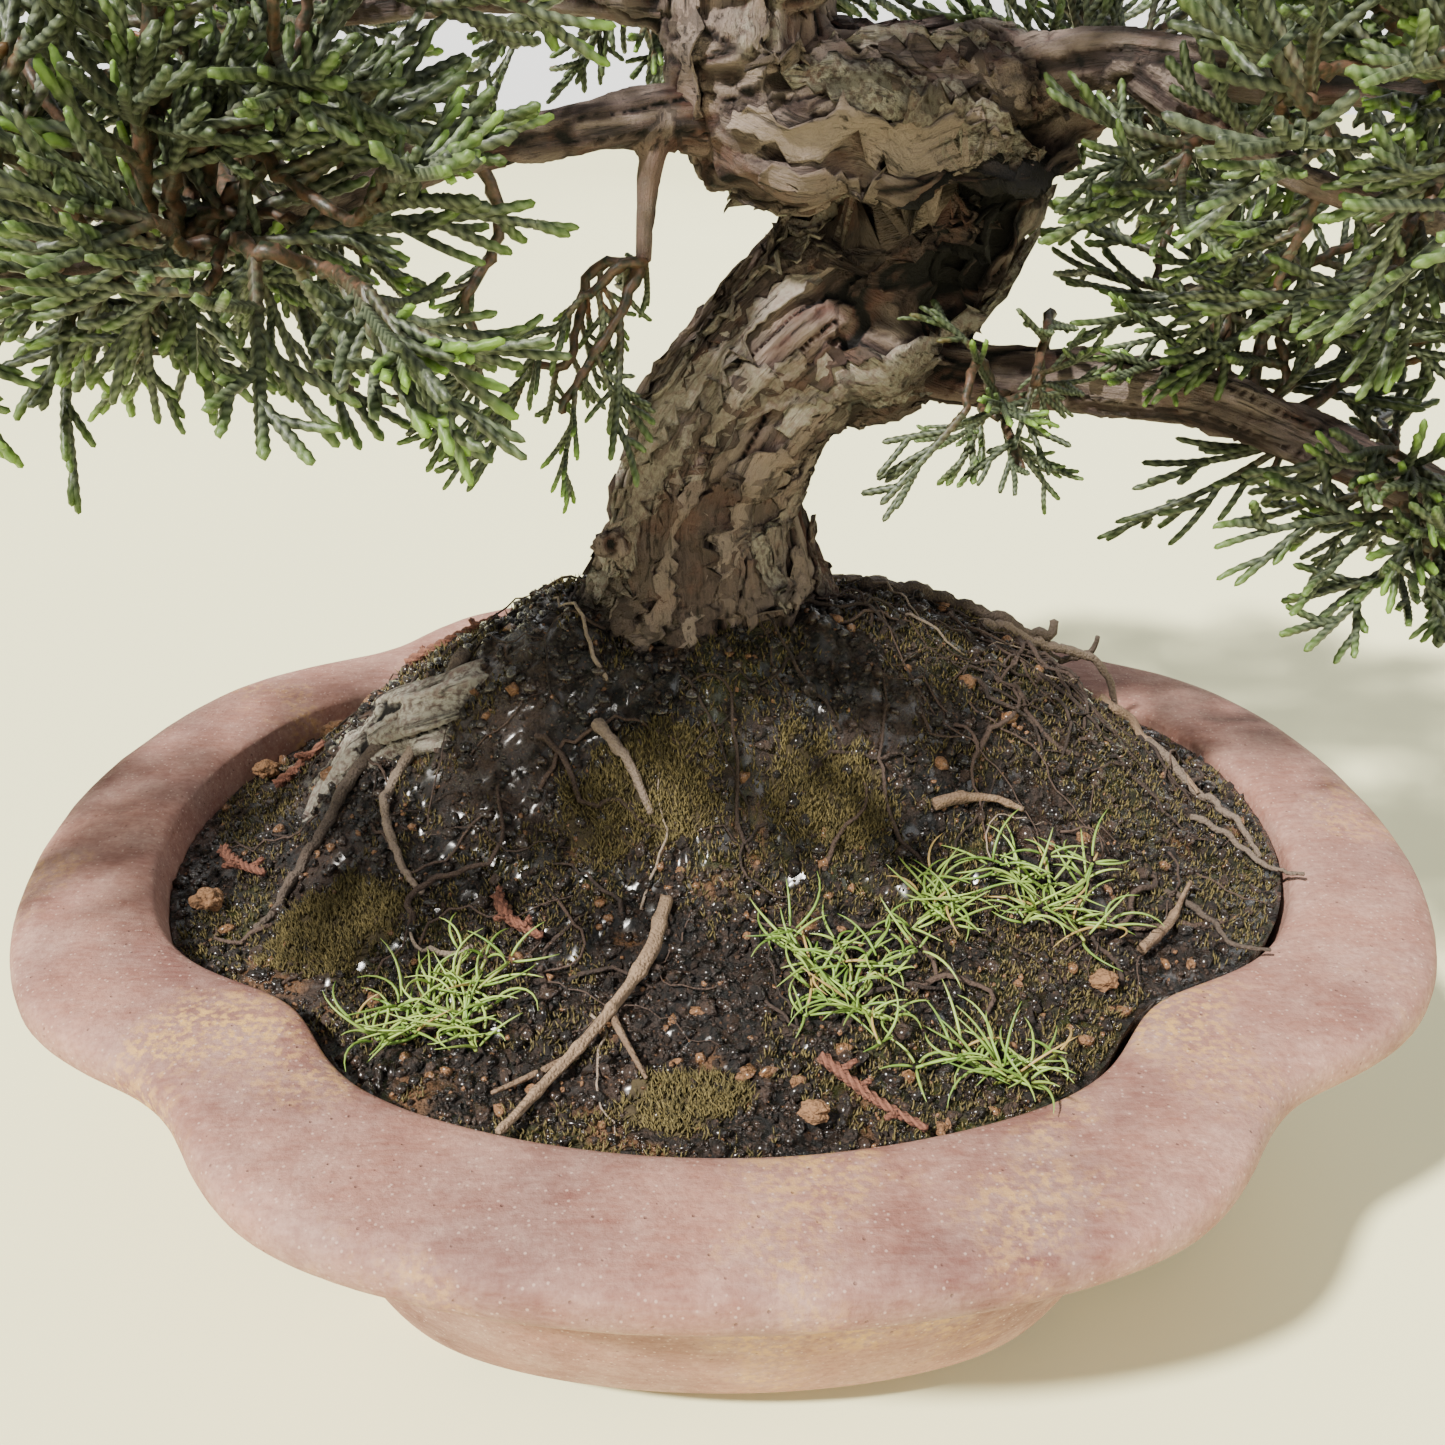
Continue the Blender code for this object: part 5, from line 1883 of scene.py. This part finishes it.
@dataclass
class Canopy:
    """Every foliage pad: fine branchlets that carry fans of scale-leaved shoots."""

    wood: TreeWood
    spray_lengths: tuple[float, ...] = (16.0, 19.0, 22.0, 25.0, 28.0, 31.0, 21.0, 26.0, 23.0, 18.0)
    area_per_spray: float = 155.0
    thin_wood: float = 7.0
    overhang: float = 5.0
    box_overhang: float = 6.0
    rise: dict[str, float] = field(default_factory=lambda: {
        "foliage_left_hanging": -0.9, "foliage_right_inner": -0.35, "foliage_right_low": -0.3,
        "foliage_left_middle": -0.15, "foliage_left_front": -0.05, "foliage_left_inner": -0.2,
        "foliage_right_outer": -0.1,
    })

    def build(self) -> None:
        """Makes each pad as its own piece."""
        sprays = [Spray(f"spray_{number}", length).build() for number, length in enumerate(self.spray_lengths)]
        for name in sorted(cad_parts):
            if name.startswith("foliage"):
                self.pad(name, sprays)

    def pad(self, name: str, sprays: list[Spray]) -> None:
        """Makes one pad.

        Args:
            name: the CAD node that it stands for.
            sprays: the fans to choose from.
        """
        low, high = node_box(name)
        centre, half = (low + high) / 2, (high - low) / 2
        random = seeded(name)
        hubs = self.hubs(low, high, centre)
        heap = Heap()
        open_front = 1.25 if low[1] < -90 else 1.0
        wanted = int(np.clip(self.surface(half) / self.area_per_spray / open_front, 16, 150))
        limbs = max(int(wanted / 8), 4)
        origins = []
        for number in range(limbs):
            target = self.target(random, centre, half, number, limbs)
            origins += self.branchlet(heap, random, hubs, target)
        picks = random.choice(len(origins), min(wanted, len(origins)), replace=False)
        for pick in picks:
            origin, way = origins[pick]
            outward = (origin - centre) / half
            lean = unit(0.75 * unit(outward) + 0.75 * way + 0.45 * random.normal(size=3)
                        + self.rise.get(name, 0.22) * UP)
            self.place_spray(heap, random, sprays, origin, lean, low, high)
        finish_piece(heap.build(f"{name}_sprays", NEEDLES.material()), Slot.FOLIAGE, name)

    def surface(self, half: np.ndarray) -> float:
        """Surface of the round shape with these half sizes."""
        a, b, c = half
        power = 1.6
        return 4 * math.pi * (((a * b) ** power + (a * c) ** power + (b * c) ** power) / 3) ** (1 / power)

    def hubs(self, low: np.ndarray, high: np.ndarray, centre: np.ndarray) -> np.ndarray:
        """Places on the wood that a pad's branchlets leave from.

        Args:
            low: lowest corner of the pad.
            high: highest corner of the pad.
            centre: its middle.

        Returns:
            The places, with the wood's radius.
        """
        samples = self.wood.samples[self.wood.samples[:, 3] < self.thin_wood]
        inside = ((samples[:, :3] > low - 4) & (samples[:, :3] < high + 4)).all(axis=1)
        if inside.sum() > 6:
            return samples[inside]
        return samples[np.argsort(np.linalg.norm(samples[:, :3] - centre, axis=1))[:12]]

    def target(self, random: np.random.Generator, centre: np.ndarray, half: np.ndarray, number: int,
               total: int) -> np.ndarray:
        """Place that a branchlet reaches for, spread evenly through the pad.

        Args:
            random: the source of random numbers.
            centre: the pad's middle.
            half: its half sizes.
            number: which branchlet this is.
            total: how many there are.

        Returns:
            The place.
        """
        turn = TAU * number * GOLDEN_SHARE + random.uniform(-0.3, 0.3)
        height = 1 - 2 * (number + 0.5) / total
        flat = math.sqrt(max(1 - height * height, 0))
        way = np.array([flat * math.cos(turn), flat * math.sin(turn), height])
        return centre + way * half * random.uniform(0.55, 0.82)

    def branchlet(self, heap: Heap, random: np.random.Generator, hubs: np.ndarray,
                  target: np.ndarray) -> list[tuple[np.ndarray, np.ndarray]]:
        """Adds one thin woody branchlet and says where sprays leave it.

        Args:
            heap: gathers the shape.
            random: the source of random numbers.
            hubs: places on the wood to start from.
            target: where it ends.

        Returns:
            Pairs of a place and the branchlet's direction there.
        """
        distance = np.linalg.norm(hubs[:, :3] - target, axis=1) * (1 + 0.25 * random.uniform(size=len(hubs)))
        hub = hubs[distance.argmin()]
        start = hub[:3]
        reach = np.linalg.norm(target - start)
        sag = np.array([0, 0, random.uniform(-0.1, 0.18) * reach])
        swing = random.normal(size=3) * 0.1 * reach
        points = [start, start + (target - start) * 0.35 + sag + swing, start + (target - start) * 0.7 + sag * 0.6
                  - swing * 0.5, target]
        path = even_route([tuple(point) for point in points], 1.6)
        path += 0.25 * random.normal(size=path.shape)
        thick = min(hub[3] * 0.8, 0.8 + reach * 0.01)
        taper = np.linspace(thick, 0.7, len(path))
        knobs = 1 + 0.14 * random.normal(size=(len(path), 7))
        points, quads, triangles = tube(path, taper[:, None] * knobs)
        heap.add(points, quads, triangles, (0.0, 0.2, 1.0))
        way = unit(np.gradient(path, axis=0))
        found = []
        first = int(0.25 * len(path)) if reach > 15 else 0
        for index in range(first, len(path), 2):
            found.append((path[index], way[index]))
        found += [(path[-1], way[-1])] * 2
        return found

    def place_spray(self, heap: Heap, random: np.random.Generator, sprays: list[Spray], origin: np.ndarray,
                    lean: np.ndarray, low: np.ndarray, high: np.ndarray) -> None:
        """Adds one fan, turned and bent to grow its own way.

        Args:
            heap: gathers the shape.
            random: the source of random numbers.
            sprays: the fans to choose from.
            origin: where it leaves the branchlet.
            lean: the direction that it grows in.
            low: lowest corner of the pad.
            high: highest corner of the pad.
        """
        spray = sprays[int(random.integers(len(sprays)))]
        size = random.uniform(0.82, 1.12) * float(np.clip((high - low).max() / 50, 0.75, 1.0))
        tip = origin + lean * spray.length * size
        over = np.maximum(tip - high, 0) + np.minimum(tip - low, 0)
        lean = unit(lean * spray.length * size - over * 1.25)
        tip = origin + lean * spray.length * size
        whole_low, whole_high = np.array(cad_bounds) / MM
        if (np.maximum(tip - high, 0) - np.minimum(tip - low, 0)).max() > self.overhang:
            return
        flat = unit(UP + 0.55 * random.normal(size=3))
        side = unit(np.cross(flat, lean))
        top = np.cross(lean, side)
        local = spray.points * size
        curl = random.normal(0.002, 0.006)
        swing = random.normal(0, 0.004)
        hand = 1 if random.uniform() < 0.5 else -1
        x, y, z = local[:, 0], local[:, 1] * hand + swing * local[:, 0] ** 2, local[:, 2] + curl * local[:, 0] ** 2
        points = origin + x[:, None] * lean + y[:, None] * side + z[:, None] * top
        if max((points - whole_high).max(), (whole_low - points).max()) > self.box_overhang:
            return
        quads = spray.quads if hand == 1 else spray.quads[:, ::-1]
        triangles = spray.triangles if hand == 1 else spray.triangles[:, ::-1]
        youth = random.uniform(0.0, 0.5) if random.uniform() < 0.85 else 1.0
        tones = spray.tones * (youth, random.uniform(0.5, 1.0), 1.0)
        heap.add(points, quads, triangles, np.clip(tones, 0, 1))


# ---------------------------------------------------------------- what grows and lies on the soil
@dataclass
class MossCover:
    """Cushions of short olive moss."""

    bed: SoilBed
    spikes_per_area: float = 8.0

    def build(self) -> None:
        """Makes each patch as its own piece."""
        for name in sorted(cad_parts):
            if name.startswith("moss"):
                self.patch(name)

    def patch(self, name: str) -> None:
        """Makes one patch: a low uneven cushion covered in upright spikes.

        Args:
            name: the CAD node that it stands for.
        """
        low, high = node_box(name)
        centre, half = (low + high) / 2, (high - low) / 2
        random = seeded(name)
        rings, sides = 14, 56
        angle = TAU * np.arange(sides) / sides
        wave = 1 + 0.24 * layered_noise(np.stack([np.cos(angle), np.sin(angle), angle * 0 + len(name)], 1), 1.6, 71)
        rows = []
        for share in np.linspace(1.0, 0.07, rings):
            x = centre[0] + half[0] * 0.95 * share * wave * np.cos(angle)
            y = centre[1] + half[1] * 0.95 * share * wave * np.sin(angle)
            dome = 1.3 * (1 - share ** 2) - 0.7 * share ** 4
            rows.append(np.stack([x, y, self.bed.height(x, y) + dome], 1))
        stack = np.array(rows)
        stack[..., 2] += 0.5 * smooth_noise(stack, 0.5, 73)
        middle = stack[-1].mean(axis=0)
        heap = Heap()
        heap.add(*ring_stack(stack, np.array([centre[0], centre[1], middle[2] - 4]), middle), tone=(0.1, 0.8, 0.0))
        area = math.pi * half[0] * half[1]
        self.spikes(heap, random, stack, int(area * self.spikes_per_area))
        finish_piece(heap.build(f"{name}_cushion", MOSS.material()), Slot.MOSS, name)

    def spikes(self, heap: Heap, random: np.random.Generator, stack: np.ndarray, count: int) -> None:
        """Adds upright spikes all over a cushion.

        Args:
            heap: gathers the shape.
            random: the source of random numbers.
            stack: the cushion's rings.
            count: how many spikes.
        """
        rings, sides = stack.shape[:2]
        ring = (rings - 1) * (1 - np.sqrt(random.uniform(size=count)))
        spoke = random.uniform(size=count) * sides
        lower = stack[ring.astype(int), spoke.astype(int) % sides]
        upper = stack[np.minimum(ring.astype(int) + 1, rings - 1), (spoke.astype(int) + 1) % sides]
        mix = random.uniform(size=(count, 1))
        roots = lower * (1 - mix) + upper * mix
        kept = layered_noise(roots, 0.16, 75) + 1.5 * ring / rings > random.uniform(-0.2, 0.5, count)
        add_spikes(heap, random, roots[kept], 0.8, 2.6)


@dataclass
class Pearlwort:
    """Tufts of a small weed with bright needle leaves on thread-like stems."""

    bed: SoilBed

    def build(self) -> None:
        """Makes each tuft as its own piece."""
        for name in sorted(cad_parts):
            if name.startswith("pearlwort"):
                self.tuft(name)

    def tuft(self, name: str) -> None:
        """Makes one tuft: runners that fork, each with rosettes of needles.

        Args:
            name: the CAD node that it stands for.
        """
        low, high = node_box(name)
        centre, half = (low + high) / 2, (high - low) / 2
        random = seeded(name)
        heap = Heap()
        runners = max(int(half[0] * half[1] / 13), 5)
        for number in range(runners):
            turn = TAU * number / runners + random.normal(0, 0.3)
            reach = random.uniform(0.4, 1.1)
            plan = [(centre[0] + half[0] * reach * s * math.cos(turn) + random.normal(0, 0.8),
                     centre[1] + half[1] * reach * s * math.sin(turn) + random.normal(0, 0.8)) for s in (0.1, 0.5, 1.0)]
            lifts = (0.3, random.uniform(1.5, 3.5), random.uniform(2.0, 4.5))
            points = [(x, y, float(self.bed.height(x, y)) + lift) for (x, y), lift in zip(plan, lifts)]
            path = even_route(points, 1.0)
            heap.add(*tube(path, np.full(len(path), 0.32), sides=5), tone=(0.2, 0.35 * random.uniform(), 0.0))
            for index in np.array([0.55, 1.0]) * (len(path) - 1):
                self.rosette(heap, random, path[int(index)])
        finish_piece(heap.build(f"{name}_tuft", WEED.material()), Slot.WEED, name)

    def rosette(self, heap: Heap, random: np.random.Generator, middle: np.ndarray) -> None:
        """Adds a few needle leaves that curve up and out.

        Args:
            heap: gathers the shape.
            random: the source of random numbers.
            middle: where they grow from.
        """
        count = int(random.integers(3, 7))
        first = random.uniform(0, TAU)
        for number in range(count):
            turn = first + TAU * number / count + random.normal(0, 0.35)
            length = random.uniform(5.0, 13.0)
            t = np.linspace(0, 1, 8)
            rise = random.uniform(0.25, 1.05) - random.uniform(0.2, 1.1) * t
            run = np.cumsum(np.cos(rise)) * length / 8
            up = np.cumsum(np.sin(rise)) * length / 8
            heading = turn + random.normal(0, 0.6) * t
            path = middle + np.stack([run * np.cos(heading), run * np.sin(heading), up], 1)
            radii = 0.31 * np.sqrt(np.clip(1.02 - t, 0, 1)) * np.clip(0.6 + 2 * t, 0, 1)
            faded = float(random.uniform() < 0.06)
            heap.add(*tube(path, radii, sides=5, blunt=0.4), tone=(random.uniform(), faded, 0.0))


@dataclass
class Litter:
    """Fallen twigs, rust-coloured dead shoots and grit stones on the soil."""

    bed: SoilBed
    twigs: dict[str, tuple[float, tuple[tuple[float, float], ...]]] = field(default_factory=lambda: {
        "twig_pale_forked": (1.6, ((-11, -47), (-14, -60), (-22, -73), (-34, -92))),
        "twig_red": (1.3, ((16, -78), (24, -87), (31, -93))),
        "twig_short": (1.3, ((40, -29), (48, -27), (57, -27))),
        "twig_orange": (1.3, ((84, 24), (94, 14), (101, 0))),
        "twig_right": (1.2, ((74, -52), (82, -44), (88, -34))),
        "dead_shoot_back": (1.6, ((-70, 26), (-60, 27), (-50, 26))),
        "dead_shoot_left": (1.6, ((-97, 8), (-91, 9), (-86, 10))),
        "dead_shoot_outer": (1.5, ((-103, -12), (-97, -19), (-90, -25))),
        "dead_shoot_middle": (1.6, ((-41, -43), (-38, -48), (-32, -52))),
    })
    lift: float = 1.2

    def build(self) -> None:
        """Makes each twig, dead shoot and stone as its own piece."""
        for name, (radius, plan) in self.twigs.items():
            if name.startswith("dead") or name == "twig_red":
                self.dead_shoot(name, radius, plan)
            else:
                self.twig(name, radius, plan)
        for name in sorted(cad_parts):
            if name.startswith("grit"):
                self.stone(name)

    def route(self, radius: float, plan: tuple[tuple[float, float], ...], pitch: float) -> np.ndarray:
        """Middle line of something that lies on the soil.

        Args:
            radius: its radius.
            plan: places in plan.
            pitch: distance between points.

        Returns:
            Points along it.
        """
        flat = even_route([(x, y, 0.0) for x, y in plan], pitch)
        flat[:, 2] = self.bed.base_height(flat[:, 0], flat[:, 1]) + radius + self.lift
        return flat

    def twig(self, name: str, radius: float, plan: tuple[tuple[float, float], ...]) -> None:
        """Makes one bare twig with nodes, a split end and, on the long one, a fork.

        Args:
            name: the CAD node that it stands for.
            radius: its radius.
            plan: places in plan.
        """
        random = seeded(name)
        path = self.route(radius, plan, 0.6)
        bends = smooth_noise(path, 0.1, 81)[:, None] * (1.3, 0.9, 0.4)
        path += bends + smooth_noise(path, 0.4, 82)[:, None] * (0.4, 0.3, 0.2)
        sides = 12
        along = np.arange(len(path))[:, None] * 0.6
        t = np.linspace(0, 1, len(path))
        joints = 1 + 0.3 * np.exp(-(((along % 9.0) - 4.5) / 0.9) ** 2)
        turns = TAU * np.arange(sides) / sides
        ring = grid(np.cos(turns)[None] * 2, np.sin(turns)[None] * 2, along * 0.12)
        radii = 0.85 * radius * (1.02 - 0.6 * t)[:, None] * joints * (1 + 0.42 * smooth_noise(ring, 1.0, 83))
        stripes = np.concatenate([smoothstep(smooth_noise(ring, 1.4, 85).ravel(), 0.2, 0.6), [1.0, 1.0]])
        heap = Heap()
        tones = np.stack([random.uniform(0.2, 0.9) + 0 * stripes, stripes * 0.6, 0 * stripes], 1)
        heap.add(*tube(path, radii, blunt=0.2), tone=tones)
        if name == "twig_pale_forked":
            for share, way in ((0.45, (0.5, -1.0)), (0.62, (-1.0, -0.55))):
                start = path[int(share * len(path))]
                ends = [(start[0] + way[0] * s, start[1] + way[1] * s) for s in (0, 6, 13)]
                fork = self.route(radius * 0.4, tuple(ends), 0.8)
                heap.add(*tube(fork, np.linspace(0.8, 0.35, len(fork)), sides=8), tone=(0.3, 0.3, 0.0))
        finish_piece(heap.build(f"{name}_wood", DEAD_WOOD.material()), Slot.DEAD_WOOD, name)

    def dead_shoot(self, name: str, radius: float, plan: tuple[tuple[float, float], ...]) -> None:
        """Makes one dead scale-leaved shoot with side stubs.

        Args:
            name: the CAD node that it stands for.
            radius: its radius.
            plan: places in plan.
        """
        random = seeded(name)
        heap = Heap()
        path = self.route(radius, plan, 1.0)
        self.scaly(heap, path, radius * 0.85)
        for share in np.linspace(0.2, 0.8, 4):
            start = path[int(share * (len(path) - 1))]
            turn = random.uniform(0, TAU)
            way = np.array([math.cos(turn), math.sin(turn), 0.25])
            stub = start + way * np.linspace(0, random.uniform(2.0, 4.0), 5)[:, None]
            self.scaly(heap, stub, radius * 0.6)
        finish_piece(heap.build(f"{name}_scales", DEAD_SHOOT.material()), Slot.DEAD_SHOOT, name)

    def scaly(self, heap: Heap, path: np.ndarray, radius: float) -> None:
        """Adds a shoot whose dry scales stand out in crossed pairs.

        Args:
            heap: gathers the shape.
            path: its middle line.
            radius: its radius.
        """
        pairs = np.array([[1.1, 0.6] * 4, [0.6, 1.1] * 4])[np.arange(len(path)) % 2]
        taper = radius * (1 - 0.35 * np.linspace(0, 1, len(path)))
        points, quads, triangles = tube(path, pairs * taper[:, None])
        shade = np.concatenate([1 - (pairs.ravel() - 0.6) / 0.5, [0.5, 0.5]])
        heap.add(points, quads, triangles, np.stack([0.4 + 0 * shade, shade * 0.7, 0 * shade], 1))

    def stone(self, name: str) -> None:
        """Makes one rough grit stone.

        Args:
            name: the CAD node that it stands for.
        """
        low, high = node_box(name)
        seed = zlib.crc32(name.encode()) % 89
        shape, faces = ball(5)
        chipped = 1 + 0.28 * layered_noise(shape, 1.5, seed, 4) - 0.15 * np.abs(smooth_noise(shape, 2.2, seed + 7))
        points = shape * chipped[:, None]
        points = (points - points.min(0)) / (points.max(0) - points.min(0)) * (high - low) + low
        pits = smoothstep(smooth_noise(shape, 5.0, seed), 0.3, 0.7) * 0.6
        heap = Heap()
        heap.add(points, triangles=faces, tone=np.stack([pits * 0.5, pits, 0 * pits], 1))
        finish_piece(heap.build(f"{name}_lump", GRIT_STONE.material()), Slot.GRIT, name)


def main() -> None:
    """Builds every sub-assembly in order."""
    logging.basicConfig(level=logging.INFO, format="%(name)s: %(message)s", stream=sys.stdout)
    Studio().build()
    Pot().build()
    Drainage().dress()
    bed = SoilBed()
    bed.build()
    RootMat(bed).build()
    wood = TreeWood()
    wood.build()
    Canopy(wood).build()
    MossCover(bed).build()
    Pearlwort(bed).build()
    Litter(bed).build()


if __name__ == "__main__":
    main()
